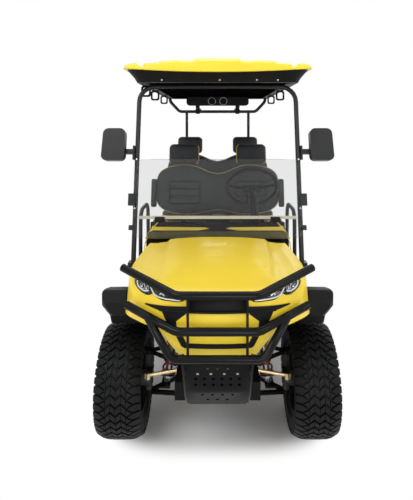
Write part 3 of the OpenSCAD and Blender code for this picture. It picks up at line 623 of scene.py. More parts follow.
@dataclass(frozen=True)
class Leather(Surface):
    """Seat vinyl: cells of grain, a mottled colour and a soft sheen."""

    shade: tuple[float, float, float]
    roughness: tuple[float, float] = (0.38, 0.55)
    mottle: float = 9.0
    cell: float = 320.0
    cell_edge: float = 0.18
    bump: float = 0.35
    bump_size: float = 0.0007
    specular: float = 0.22
    sheen: float = 0.02

    def material(self, effects: Effects) -> bpy.types.Material:
        """Builds the vinyl: a net of cell edges as bump under the mottled colour.

        Args:
            effects: the shared node groups.

        Returns:
            The material.
        """
        mat, b, shader, _, mottle = self.begin(effects, self.mottle)
        coords = b.add("ShaderNodeTexCoord").outputs["Object"]
        cells = b.add("ShaderNodeTexVoronoi", {"feature": "DISTANCE_TO_EDGE"}, Vector=coords,
                      Scale=self.cell)
        net = b.remap(cells.outputs["Distance"], From_Max=self.cell_edge)
        bump = b.add("ShaderNodeBump", Strength=self.bump, Distance=self.bump_size, Height=net)
        low, high = self.roughness
        b.fill(shader, Base_Color=b.tones(mottle, self.shade, self.colour), Normal=bump.outputs["Normal"],
               Roughness=b.remap(mottle, To_Min=low, To_Max=high), Specular_IOR_Level=self.specular,
               Sheen_Weight=self.sheen)
        return mat


@dataclass(frozen=True)
class Clear(Surface):
    """Clear or tinted pane or lens, with faint smears in its gloss."""

    roughness: tuple[float, float] = (0.02, 0.05)
    mottle: float = 4.0
    ior: float = 1.46

    def material(self, effects: Effects) -> bpy.types.Material:
        """Builds the pane: full transmission, and a roughness that follows the mottle.

        Args:
            effects: the shared node groups.

        Returns:
            The material.
        """
        mat, b, shader, _, mottle = self.begin(effects, self.mottle)
        low, high = self.roughness
        b.fill(shader, Base_Color=(*self.colour, 1), Roughness=b.remap(mottle, To_Min=low, To_Max=high),
               IOR=self.ior, Transmission_Weight=1.0)
        return mat


@dataclass(frozen=True)
class Glow(Surface):
    """Lit strip of a lamp, with the chips of its light row as a faint pattern."""

    strength: float = 0.55
    roughness: float = 0.3
    mottle: float = 60.0
    between_chips: float = 0.9

    def material(self, effects: Effects) -> bpy.types.Material:
        """Builds the lit strip: its light is a little weaker where the mottle is low.

        Args:
            effects: the shared node groups.

        Returns:
            The material.
        """
        mat, b, shader, _, mottle = self.begin(effects, self.mottle)
        soft = tuple(self.between_chips * c for c in self.colour)
        b.fill(shader, Base_Color=(*self.colour, 1), Roughness=self.roughness,
               Emission_Color=b.tones(mottle, soft, self.colour), Emission_Strength=self.strength)
        return mat


class Look(Enum):
    """All finishes of the cart."""

    yellow = Finish("body_yellow", (0.855, 0.635, 0.04), (0.82, 0.595, 0.032), (0.34, 0.46), coat=0.12,
                    grain=260, mottle=3, bump=0.03, dust=0.03, specular=0.35)
    black_plastic = Finish("grained_black", (0.008, 0.008, 0.0085), (0.004, 0.004, 0.0045),
                           (0.42, 0.58), grain=900, bump=0.22, dust=0.03, specular=0.12)
    gloss_black = Finish("gloss_black", (0.003, 0.003, 0.0033), (0.0015, 0.0015, 0.0017), (0.34, 0.42),
                         grain=300, bump=0.02, specular=0.08)
    frame_black = Finish("powder_black", (0.004, 0.004, 0.0043), (0.002, 0.002, 0.0022), (0.36, 0.5),
                         grain=700, bump=0.12, dust=0.03, specular=0.1)
    guard_grey = Finish("guard_grey", (0.004, 0.004, 0.0043), (0.0025, 0.0025, 0.0028), (0.2, 0.28),
                        grain=800, bump=0.08, specular=0.14)
    post_grey = Finish("post_grey", (0.018, 0.0185, 0.0195), (0.012, 0.0125, 0.0135), (0.3, 0.42),
                       grain=800, bump=0.08, specular=0.25)
    # Black of the roof's ceiling; on the seat seams this finish serves as painted shade
    ceiling = Finish("ceiling_black", (0.003, 0.003, 0.0032), (0.0015, 0.0015, 0.0017), (0.9, 1.0),
                     grain=900, bump=0.1, specular=0.0)
    # Painted shade: dark yellow for the shaded gap behind the hood, with a painted yellow reflection of the
    # hood
    cowl_shade = Finish("cowl_shade", (0.115, 0.098, 0.03), (0.085, 0.072, 0.022), (0.4, 0.55),
                        grain=500, bump=0.1, specular=0.2)
    steel = Finish("bright_steel", (0.36, 0.36, 0.37), (0.27, 0.27, 0.28), (0.25, 0.38), metallic=1.0,
                   grain=500, bump=0.06, dust=0.25)
    zinc = Finish("yellow_zinc", (0.62, 0.52, 0.3), (0.5, 0.4, 0.22), (0.3, 0.42), metallic=1.0,
                  grain=500, bump=0.06, dust=0.2)
    cast = Finish("cast_iron", (0.03, 0.03, 0.032), (0.018, 0.018, 0.02), (0.55, 0.7), specular=0.3,
                  grain=350, bump=0.4, bump_size=0.001, dust=0.4)
    red = Finish("spring_red", (0.3, 0.012, 0.011), (0.22, 0.009, 0.008), (0.3, 0.42), coat=0.1,
                 grain=400, bump=0.04, dust=0.15)
    rubber = Finish("tyre_rubber", (0.006, 0.0065, 0.0065), (0.003, 0.0035, 0.0035), (0.46, 0.62),
                    grain=600, mottle=14, bump=0.25, dust=0.03, dust_top=0.5, specular=0.15)
    mat = Finish("floor_mat", (0.010, 0.010, 0.0105), (0.006, 0.006, 0.0065), (0.7, 0.85), grain=500,
                 bump=0.3, dust=0.06, specular=0.12)
    rim = Finish("rim_black", (0.03, 0.03, 0.032), (0.02, 0.02, 0.022), (0.16, 0.26), metallic=0.6,
                 coat=0.4, grain=300, bump=0.03, dust=0.2)
    chrome = Finish("lamp_chrome", (0.85, 0.86, 0.88), (0.78, 0.79, 0.81), (0.06, 0.12), metallic=1.0,
                    grain=200, bump=0.01)
    mirror = Finish("mirror_face", (0.9, 0.9, 0.91), (0.88, 0.88, 0.89), (0.02, 0.04), metallic=1.0,
                    grain=200, bump=0.0)
    bolt = Finish("bolt_zinc", (0.7, 0.7, 0.7), (0.6, 0.6, 0.6), (0.25, 0.35), metallic=1.0, grain=400,
                  bump=0.05)
    red_lens = Finish("tail_red", (0.42, 0.008, 0.008), (0.3, 0.005, 0.005), (0.1, 0.16), coat=0.6,
                      grain=200, bump=0.03)
    piping = Finish("piping_yellow", (0.82, 0.56, 0.035), (0.74, 0.5, 0.03), (0.45, 0.55), grain=900,
                    bump=0.2)
    strip = Finish("pale_strip", (0.46, 0.44, 0.36), (0.4, 0.38, 0.31), (0.3, 0.4), grain=300,
                   bump=0.02, specular=0.3)
    vinyl = Leather("seat_vinyl", (0.023, 0.024, 0.027), (0.015, 0.016, 0.018))
    pane = Clear("screen_pane", (0.89, 0.895, 0.89), ior=1.26)
    lens = Clear("lamp_lens", (0.96, 0.97, 0.98))
    glow = Glow("lamp_glow", (0.55, 0.56, 0.56))


class Finishes:
    """The materials of all finishes, each built once."""

    def __init__(self) -> None:
        """Builds every finish."""
        effects = Effects()
        self._made = {look: look.value.material(effects) for look in Look}

    def __getitem__(self, look: Look) -> bpy.types.Material:
        """The material of a finish."""
        return self._made[look]


# Stage


@dataclass
class Stage:
    """Camera, floor and studio light."""

    image_px: tuple[float, float] = (413.0, 500.0)
    focal_px: float = 443.1
    horizon_px: float = 124.9
    centre_px: float = 217.6
    sensor_mm: float = 36.0
    eye: tuple[float, float, float] = (0.0, FRONT_AXLE_Y - 2.472, 1.706)
    pitch_deg: float = 0.8
    floor_half: float = 30.0
    # Shadow: half width and length of its box, and the shares of it between which it fades
    shadow_half: tuple[float, float] = (0.70, 1.15)
    shadow_reach: tuple[float, float] = (0.85, 1.05)
    world_diffuse: float = 0.5
    # Lamps: name, place, turn in degrees, width and power in watts
    lamps: tuple = (
        ("key", (-2.6, -4.2, 4.6), (48, 0, -32), 3.2, 120),
        ("fill", (3.4, -3.6, 3.2), (58, 0, 44), 3.0, 60),
        ("top", (0, 0.6, 5.2), (0, 0, 0), 4.0, 80),
        ("front", (0.4, -6.0, 0.8), (88, 0, 4), 2.0, 60),
        ("back", (0.5, 5.2, 3.6), (-58, 0, 0), 3.4, 60))

    def build(self) -> None:
        """Makes the camera, the floor, the world and the lamps."""
        self._camera()
        self._floor()
        self._world()
        self._lamps()
        bpy.context.scene.view_settings.view_transform = "Standard"

    def _camera(self) -> None:
        """Sets the camera at the photographer's eye; part of the view's drop is pitch, the rest is shift."""
        width, height = self.image_px
        data = bpy.data.cameras.new("camera")
        data.sensor_width = self.sensor_mm
        data.lens = self.sensor_mm * self.focal_px / height
        drop = height / 2 - self.horizon_px - self.focal_px * math.tan(math.radians(self.pitch_deg))
        data.shift_x = -(self.centre_px - width / 2) / height
        data.shift_y = -drop / height
        cam = link_object("camera", data)
        cam.location = self.eye
        cam.rotation_euler = (math.radians(90 - self.pitch_deg), 0, 0)
        bpy.context.scene.camera = cam

    def _floor(self) -> None:
        """Makes a pale floor that keeps the cart's shadow; further off, seen rays find a white backdrop.

        The border is a rounded box: the sum of the fourth powers of the shares of its half width and length.
        """
        mat = bpy.data.materials.new("floor_pale")
        mat.use_nodes = True
        b = Bench(mat.node_tree)
        shader = mat.node_tree.nodes["Principled BSDF"]
        b.fill(shader, Base_Color=(0.86, 0.86, 0.86, 1), Roughness=0.9, Specular_IOR_Level=0.1)
        vector = "ShaderNodeVectorMath"
        place = b.add("ShaderNodeTexCoord").outputs["Object"]
        per_half = (*(1 / half for half in self.shadow_half), 0.0)
        power = b.combine(vector, "MULTIPLY", place, per_half).outputs["Vector"]
        for _ in range(2):
            power = b.combine(vector, "MULTIPLY", power, power).outputs["Vector"]
        reach = b.combine(vector, "DOT_PRODUCT", power, (1, 1, 0)).outputs["Value"]
        near, far = self.shadow_reach
        border = b.add("ShaderNodeMapRange", {"interpolation_type": "SMOOTHERSTEP"}, Value=reach,
                       From_Min=near**4, From_Max=far**4)
        away = border.outputs["Result"]
        path = b.add("ShaderNodeLightPath")
        for ray in ("Is Diffuse Ray", "Is Shadow Ray"):
            keep = b.combine("ShaderNodeMath", "SUBTRACT", away, path.outputs[ray])
            keep.use_clamp = True
            away = keep.outputs["Value"]
        white = b.add("ShaderNodeEmission", Color=(1, 1, 1, 1), Strength=1.0)
        mix = b.add("ShaderNodeMixShader")
        for socket, value in zip(mix.inputs, (away, shader.outputs["BSDF"], white.outputs["Emission"])):
            b.feed(socket, value)
        b.fill(mat.node_tree.nodes["Material Output"], Surface=mix.outputs["Shader"])
        h = self.floor_half
        corners = np.array([[-h, -h, 0], [h, -h, 0], [h, h, 0], [-h, h, 0]])
        make_object("floor", corners, [[0, 1, 2, 3]], mat, plain=True)

    def _world(self) -> None:
        """Makes the world white for what the camera and gloss see, and weaker for diffuse light."""
        world = bpy.data.worlds.new("studio")
        bpy.context.scene.world = world
        world.use_nodes = True
        b = Bench(world.node_tree)
        diffuse = b.add("ShaderNodeLightPath").outputs["Is Diffuse Ray"]
        b.fill(world.node_tree.nodes["Background"], Color=(1, 1, 1, 1),
               Strength=b.remap(diffuse, To_Min=1.0, To_Max=self.world_diffuse))

    def _lamps(self) -> None:
        """Sets up the large soft lamps."""
        for name, place, turn, size, power in self.lamps:
            data = bpy.data.lights.new(name, "AREA")
            data.shape, data.size, data.energy = "DISK", size, power
            lamp = link_object(name, data)
            lamp.location = place
            lamp.rotation_euler = tuple(math.radians(a) for a in turn)


# Carried-over CAD pieces


@dataclass
class Workshop:
    """What the sub-assemblies share: the frame, the finishes and which body carries a node."""

    frame: dict
    finishes: Finishes
    bodies: dict = field(init=False)

    def __post_init__(self) -> None:
        """Looks up the body of each node."""
        bodies = self.frame["record"]["behaviour"]["bodies"]
        self.bodies = {node: body for body, nodes in bodies.items() for node in nodes}

    def dress(self, node: str, finish: Look, bevel: float) -> None:
        """Stands a merged, smooth copy of a CAD node in its place, with rounded edges and a finish.

        Args:
            node: the CAD node.
            finish: its finish.
            bevel: width of the rounded edges in metres; 0 for none.
        """
        name = node + "_dressed"
        mesh = self.frame["nodes"][node].data.copy()
        mesh.name = name
        work = bmesh.new()
        work.from_mesh(mesh)
        bmesh.ops.remove_doubles(work, verts=work.verts, dist=WELD)
        flat = math.radians(FLAT_DEG)
        bmesh.ops.dissolve_limit(work, angle_limit=flat, verts=work.verts, edges=work.edges)
        work.to_mesh(mesh)
        work.free()
        mesh.materials.clear()
        mesh.materials.append(self.finishes[finish])
        mesh.polygons.foreach_set("material_index", [0] * len(mesh.polygons))
        shade_smooth(mesh, SHARP_DEG)
        obj = link_object(name, mesh)
        if bevel > 0:
            round_edges(obj, bevel, SHARP_DEG, harden=True)
        self.settle(obj, self.bodies[node], node)

    def make(self, name: str, parts: list[Part], finish: Look, *nodes: str, body: str = CHASSIS,
             slot: str | None = None, merge: float = 0.0) -> bpy.types.Object:
        """Makes one piece from parts in metres and settles it.

        Args:
            name: name of the piece.
            parts: pairs of points and faces.
            finish: its finish.
            nodes: CAD nodes that it replaces.
            body: the body it rides on.
            slot: passed on to `settle`, which does not use it.
            merge: distance within which points become one.

        Returns:
            The piece.
        """
        obj = make_object(name, *join_parts(parts), self.finishes[finish], merge=merge)
        self.settle(obj, body, *nodes, slot=slot)
        return obj

    def settle(self, obj: bpy.types.Object, body: str, *nodes: str, slot: str | None = None) -> None:
        """Makes a piece ride on a body and stand for CAD nodes.

        Args:
            obj: the piece.
            body: the body it rides on.
            nodes: CAD nodes that it replaces.
            slot: not used.
        """
        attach(obj, body)
        if nodes:
            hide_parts(*nodes)
        LOG.info("%s rides on %s", obj.name, body)


class Dressing(Enum):
    """CAD nodes that keep their shape: finish and width of the rounded edges in metres."""

    chassis_frame = (Look.frame_black, 0.003)
    skid_plate = (Look.frame_black, 0.001)
    nudge_bar = (Look.guard_grey, 0.0)
    control_arms = (Look.frame_black, 0.001)
    dampers = (Look.steel, 0.001)
    steering_rack = (Look.steel, 0.001)
    fender_flares = (Look.black_plastic, 0.008)
    cowl_panel = (Look.black_plastic, 0.003)
    dashboard = (Look.black_plastic, 0.006)
    steering_column = (Look.black_plastic, 0.003)
    pedals = (Look.mat, 0.002)
    front_posts = (Look.post_grey, 0.001)
    mirrors = (Look.post_grey, 0.012)
    mirror_glass = (Look.mirror, 0.0005)
    rear_roof_frame = (Look.post_grey, 0.0)
    grab_handles = (Look.black_plastic, 0.003)
    sound_bar = (Look.black_plastic, 0.006)
    floor_pan = (Look.mat, 0.002)
    side_steps = (Look.black_plastic, 0.004)
    seat_box = (Look.yellow, 0.010)
    battery_pack = (Look.black_plastic, 0.006)
    seat_frames = (Look.post_grey, 0.001)
    armrests = (Look.vinyl, 0.008)
    rear_body = (Look.yellow, 0.010)
    tail_lamps = (Look.red_lens, 0.005)
    rear_bumper = (Look.frame_black, 0.001)
    rear_axle = (Look.cast, 0.002)
    drive_motor = (Look.steel, 0.006)
    leaf_springs = (Look.frame_black, 0.001)
    tie_rods = (Look.zinc, 0.001)
    knuckle_left = (Look.cast, 0.002)
    knuckle_right = (Look.cast, 0.002)
    rim_front_left = (Look.rim, 0.002)
    rim_front_right = (Look.rim, 0.002)
    rim_rear_left = (Look.rim, 0.002)
    rim_rear_right = (Look.rim, 0.002)


# Nose


@dataclass
class Nose:
    """Moulded nose: rows from its lower edge up over the lamps and back to the windscreen, in mm."""

    shop: Workshop
    # Rows: y and z on the middle line; x, y and z of the shoulder; x, y and z of the lower edge
    rows: tuple = (
        (-478, 655, 150, -470, 657, 185, -455, 664),
        (-492, 708, 190, -476, 709, 226, -448, 708),
        (-503, 762, 240, -470, 762, 280, -430, 757),
        (-508, 815, 305, -445, 806, 360, -390, 771),
        (-506, 865, 372, -395, 850, 449, -300, 774),
        (-498, 912, 412, -345, 898, 465, -210, 776),
        (-480, 945, 432, -290, 936, 471, -130, 780),
        (-430, 962, 446, -215, 953, 474, -60, 786),
        (-300, 977, 456, -100, 952, 477, 40, 794),
        (-130, 989, 458, 20, 947, 479, 130, 804),
        (60, 997, 446, 150, 950, 480, 230, 815),
        (285, 1002, 424, 300, 964, 490, 330, 830))
    wall: float = 8.0
    row_count: int = 120
    top_count: int = 72
    side_count: int = 16
    top_power: float = 2.4
    bulge: float = 9.0
    # Hood: rise of its middle, y between which it sets in, share of the half width over which it fades out
    hood_rise: float = 5.0
    hood_start: tuple = (-420, -260)
    hood_fade: float = 0.12
    # Crease: its drop, its share of the half width in front and at the rear, their y, and its own width
    crease: float = 14.0
    crease_shares: tuple = (0.60, 0.72)
    crease_run: tuple = (-300, 260)
    crease_width: float = 0.06
    # Share of the rows that face the front, and the least slope towards it that is counted on
    front_rows: float = 0.66
    least_slope: float = 0.15

    def surface(self) -> np.ndarray:
        """Works out the outer skin as a grid of points.

        From the middle line to the shoulder, y and z follow the share of the way to a power; from the
        shoulder to the lower edge they run straight, with a sine bulge outwards. The hood's middle stands
        higher than its sides, with a crease between that spreads towards the rear.

        Returns:
            Points in mm, rows by columns by three.
        """
        rows = spline_rows(self.rows, self.row_count)
        mid_y, mid_z, x, y, z, low_x, low_y, low_z = np.split(rows, 8, axis=1)
        t = np.linspace(0, 1, self.top_count)[None]
        w = t**self.top_power
        front, rear = self.crease_shares
        line = front + (rear - front) * share(mid_y, *self.crease_run)
        step = share(t, line - self.crease_width / 2, line + self.crease_width / 2)
        hood = self.hood_rise - self.crease * step**2 * (3 - 2 * step)
        hood = hood * share(mid_y, *self.hood_start) * share(1 - t, 0, self.hood_fade)
        top = np.stack([x * t, mid_y + (y - mid_y) * w, mid_z + (z - mid_z) * w + hood], axis=-1)
        q = np.linspace(0, 1, self.side_count + 1)[None, 1:]
        out = x + (low_x - x) * q + self.bulge * np.sin(np.pi * q)
        side = np.stack([out, y + (low_y - y) * q, z + (low_z - z) * q], axis=-1)
        half = np.concatenate([top, side], axis=1)
        return np.concatenate([half[:, :0:-1] * MIRROR, half], axis=1)

    @staticmethod
    def normals(grid: np.ndarray) -> np.ndarray:
        """Outward normals of a grid: columns' direction crossed with the rows' direction."""
        return unit(np.cross(np.gradient(grid, axis=1), np.gradient(grid, axis=0)))

    def drape(self, xz: np.ndarray, lift: float | np.ndarray) -> np.ndarray:
        """Lays points given in the front view onto the skin.

        Each point takes the place of the nearest skin point in the front view, corrected for its own x and z
        along the skin's slope there.

        Args:
            xz: points in the front view, mm.
            lift: height above the skin, mm, for all points or to be spread over them.

        Returns:
            Points in mm.
        """
        grid = self.surface()[: int(self.row_count * self.front_rows)]
        flat, normal = grid.reshape(-1, 3), self.normals(grid).reshape(-1, 3)
        shape = np.asarray(xz).shape[:-1]
        pts = np.asarray(xz, dtype=float).reshape(-1, 2)
        k = ((pts[:, None] - flat[None, :, ::2]) ** 2).sum(axis=-1).argmin(axis=1)
        base, n = flat[k], normal[k]
        slide = ((pts - base[:, ::2]) * n[:, ::2]).sum(axis=-1)
        y = base[:, 1] - slide / np.minimum(n[:, 1], -self.least_slope)
        up = np.broadcast_to(lift, shape).reshape(-1, 1)
        return (np.stack([pts[:, 0], y, pts[:, 1]], axis=-1) + up * n).reshape(*shape, 3)

    def cover(self, outline: np.ndarray, middle: np.ndarray, shares: np.ndarray, lifts: np.ndarray) -> Part:
        """Makes a sheet on the skin, ring by ring from an outline towards its middle.

        Args:
            outline: points in the front view, mm.
            middle: the point that the rings shrink to.
            shares: size of each ring against the outline.
            lifts: height of each ring above the skin, mm.

        Returns:
            Points in mm and faces; the last ring is one face.
        """
        flat = middle + shares[:, None, None] * (outline - middle)
        count = len(outline)
        faces = grid_faces(len(shares), count, wrap_cols=True)
        last = (len(shares) - 1) * count
        return self.drape(flat, lifts[:, None]), faces + [list(range(last, last + count))]

    def build(self) -> None:
        """Makes the skin as a closed sheet: outside, inside, and a rim that joins their edges."""
        outer = self.surface()
        inner = outer - self.wall * self.normals(outer)
        rows, cols = outer.shape[:2]
        skin = np.array(grid_faces(rows, cols))
        lining = skin[:, ::-1] + rows * cols
        ids = np.arange(rows * cols).reshape(rows, cols)
        edge = np.concatenate([ids[:, 0], ids[-1, 1:], ids[-2::-1, -1], ids[0, -2:0:-1]])
        after = np.roll(edge, -1)
        rim = np.stack([edge, after, after + rows * cols, edge + rows * cols], axis=-1)
        faces = np.concatenate([skin, lining, rim]).tolist()
        sheet = (axle_frame(np.stack([outer, inner])), faces)
        self.shop.make("nose_skin", [sheet], Look.yellow, "front_cowl")


@dataclass
class Lamps:
    """Headlamps on the nose: a dark bowl, chrome cups, lit strips and a clear cover, in mm."""

    shop: Workshop
    nose: Nose
    # Front view of the left lamp, x and z
    outline: tuple = ((150, 915), (300, 948), (378, 951), (408, 946), (402, 934), (387, 924), (366, 915),
                      (342, 909), (318, 911), (301, 922), (287, 911), (259, 903), (214, 904), (172, 905))
    middle: tuple = (305, 936)
    strips: tuple = (((389, 944), (384, 936), (373, 929), (357, 924), (339, 922), (320, 926)),
                     ((314, 940), (304, 932), (292, 921), (274, 914), (244, 911), (206, 911), (168, 912)),
                     ((264, 924), (254, 928), (243, 922)))
    strip_radius: float = 3.2
    strip_lift: float = 4.2
    # Cups: x, z and radius
    cups: tuple = ((356, 935, 11), (332, 934, 9))
    cup_squash: float = 0.8
    cup_wire: float = 2.4
    cup_lift: float = 3.2
    bulb_share: float = 0.62
    bulb_lift: float = 1.2
    bulb_height: float = 6.0
    # Sheets: size of the rim against the outline, lift at the rim and in the middle
    bowl: tuple = (1.02, 1.0, 1.4)
    lens: tuple = (1.0, 2.0, 9.0)
    sheet_rings: int = 14
    least_ring: float = 0.02

    def ring_outline(self, fit: float, count: int = 96) -> np.ndarray:
        """Works out the outline with evenly spaced points and softened corners.

        Args:
            fit: size against the outline, about its middle.
            count: number of points.

        Returns:
            The points.
        """
        loop = np.array([*self.outline, self.outline[0]], dtype=float)
        walk = np.concatenate([[0], np.cumsum(np.linalg.norm(np.diff(loop, axis=0), axis=1))])
        t = np.linspace(0, walk[-1], count, endpoint=False)
        pts = np.stack([np.interp(t, walk, column) for column in loop.T], axis=-1)
        soft = (np.roll(pts, 1, axis=0) + 2 * pts + np.roll(pts, -1, axis=0)) / 4
        return self.middle + fit * (soft - self.middle)

    def sheet(self, fit: float, rim_lift: float, mid_lift: float) -> Part:
        """Makes a sheet that stays at the middle's lift and falls to the rim's with the sixth power.

        Args:
            fit: size of the rim against the outline.
            rim_lift: height above the nose at the rim.
            mid_lift: height above the nose in the middle.

        Returns:
            Points in mm and faces.
        """
        p = np.linspace(1, self.least_ring, self.sheet_rings)
        lifts = mid_lift + (rim_lift - mid_lift) * p**6
        return self.nose.cover(self.ring_outline(fit), np.array(self.middle), p, lifts)

    def cup(self, x: float, z: float, radius: float) -> list[Part]:
        """Makes a chrome ring with a bulb in its middle.

        Args:
            x: place across.
            z: height.
            radius: radius across.

        Returns:
            Ring and bulb in mm.
        """
        a = angles(count=40)
        ring = np.stack([x + radius * np.cos(a), z + radius * self.cup_squash * np.sin(a)], axis=-1)
        path = self.nose.drape(ring, self.cup_lift)
        wire = sweep(path, self.cup_wire, face=(0, 1, 0.3), sides=8, closed=True)
        foot, ahead = self.nose.drape(np.array([[x, z]] * 2), self.bulb_lift + np.array([0, 1]))
        return [wire, stud(foot, ahead - foot, self.bulb_share * radius, self.bulb_height, sides=24)]

    def build(self) -> None:
        """Makes the bowls, strips, cups and covers of both lamps."""
        paths = [self.nose.drape(spline_rows(line, count=60), self.strip_lift) for line in self.strips]
        lit = [sweep(path, self.strip_radius, face=(0, 1, 0.2), sides=8) for path in paths]
        cups = [part for row in self.cups for part in self.cup(*row)]
        for name, parts, finish, nodes in (
                ("lamp_bowls", [self.sheet(*self.bowl)], Look.gloss_black, ("headlamp_housings",)),
                ("lamp_strips", lit, Look.glow, ()),
                ("lamp_cups", cups, Look.chrome, ()),
                ("lamp_covers", [self.sheet(*self.lens)], Look.lens, ("headlamp_lenses",))):
            self.shop.make(name, mirrored(in_axle_frame(parts)), finish, *nodes)


@dataclass
class Grille:
    """Black trim of the nose: a bare plate, wing blades, intakes and the lower mouth, in mm."""

    shop: Workshop
    nose: Nose
    # Front view, x and z: a band is given by its lower and its upper line
    plate_size: tuple = (258, 62, 6)
    plate_z: float = 905.0
    blade: tuple = (((-337, 871), (-262, 859), (-138, 866), (-131, 866), (131, 866), (138, 866), (262, 859),
                     (337, 871)),
                    ((-334, 875), (-262, 880), (-138, 890), (-131, 936), (131, 936), (138, 890), (262, 880),
                     (334, 875)))
    intake: tuple = (((143, 857), (166, 839), (187, 822), (183, 787), (196, 792), (232, 815), (255, 858)),
                     ((143, 869), (166, 868), (187, 867), (196, 866), (212, 865), (235, 864), (256, 862)))
    mouth: tuple = (((-198, 780), (-164, 708), (-150, 700), (150, 700), (164, 708), (198, 780)),
                    ((-168, 780), (-142, 724), (-140, 722), (140, 722), (142, 724), (168, 780)))
    lip: tuple = ((-262, 862), (-138, 868), (0, 869), (138, 868), (262, 862))
    lip_radius: float = 5.0
    lip_lift: float = 8.0
    plate_lift: float = 9.0
    blade_lift: float = 6.0
    mouth_lift: float = 5.0
    intake_lift: float = 2.0
    rim_lift: float = 0.3

    def band(self, edges: tuple, lift: float) -> Part:
        """Makes a slab on the nose between two lines, with its rim brought down to the skin.

        Args:
            edges: two lines of as many points.
            lift: height above the skin.

        Returns:
            Points in mm and faces.
        """
        low, high = (divided(line, steps=14) for line in edges)
        across = np.linspace(0, 1, num=12)[:, None, None]
        flat = low + across * (high - low)
        flat = np.pad(flat, ((1, 1), (1, 1), (0, 0)), mode="edge")
        lifts = np.full(flat.shape[:2], lift)
        lifts[[0, -1]] = self.rim_lift
        lifts[:, [0, -1]] = self.rim_lift
        return self.nose.drape(flat, lifts), grid_faces(*lifts.shape)

    def pad(self, outline: np.ndarray, lift: float) -> Part:
        """Makes a slab on the nose over a rounded outline: a skirt up to the lift, then rings to the middle.

        Args:
            outline: points in the front view.
            lift: height above the skin.

        Returns:
            Points in mm and faces.
        """
        shares = np.array([1.0, 1.0, 0.985, 0.95, 0.8, 0.6, 0.4, 0.2, 0.02])
        lifts = np.array([0.2, 0.7, 0.95, 1, 1, 1, 1, 1, 1]) * lift
        return self.nose.cover(outline, outline.mean(axis=0), shares, lifts)

    def build(self) -> None:
        """Makes the bare gloss plate and the grained blades, lip, intakes and mouth."""
        box = divided(rounded_box(*self.plate_size), steps=3) + np.array([0, self.plate_z])
        plate_parts = [self.pad(box, self.plate_lift)]
        lip = self.nose.drape(spline_rows(self.lip, count=70), self.lip_lift)
        grained = [self.band(self.blade, self.blade_lift), self.band(self.mouth, self.mouth_lift),
                   sweep(lip, self.lip_radius, face=(0, 1, 0.1), sides=12)]
        grained += mirrored([self.band(self.intake, self.intake_lift)])
        self.shop.make("grille_plate", in_axle_frame(plate_parts), Look.gloss_black, "grille_trim")
        self.shop.make("grille_blades", in_axle_frame(grained), Look.black_plastic)


# Roof


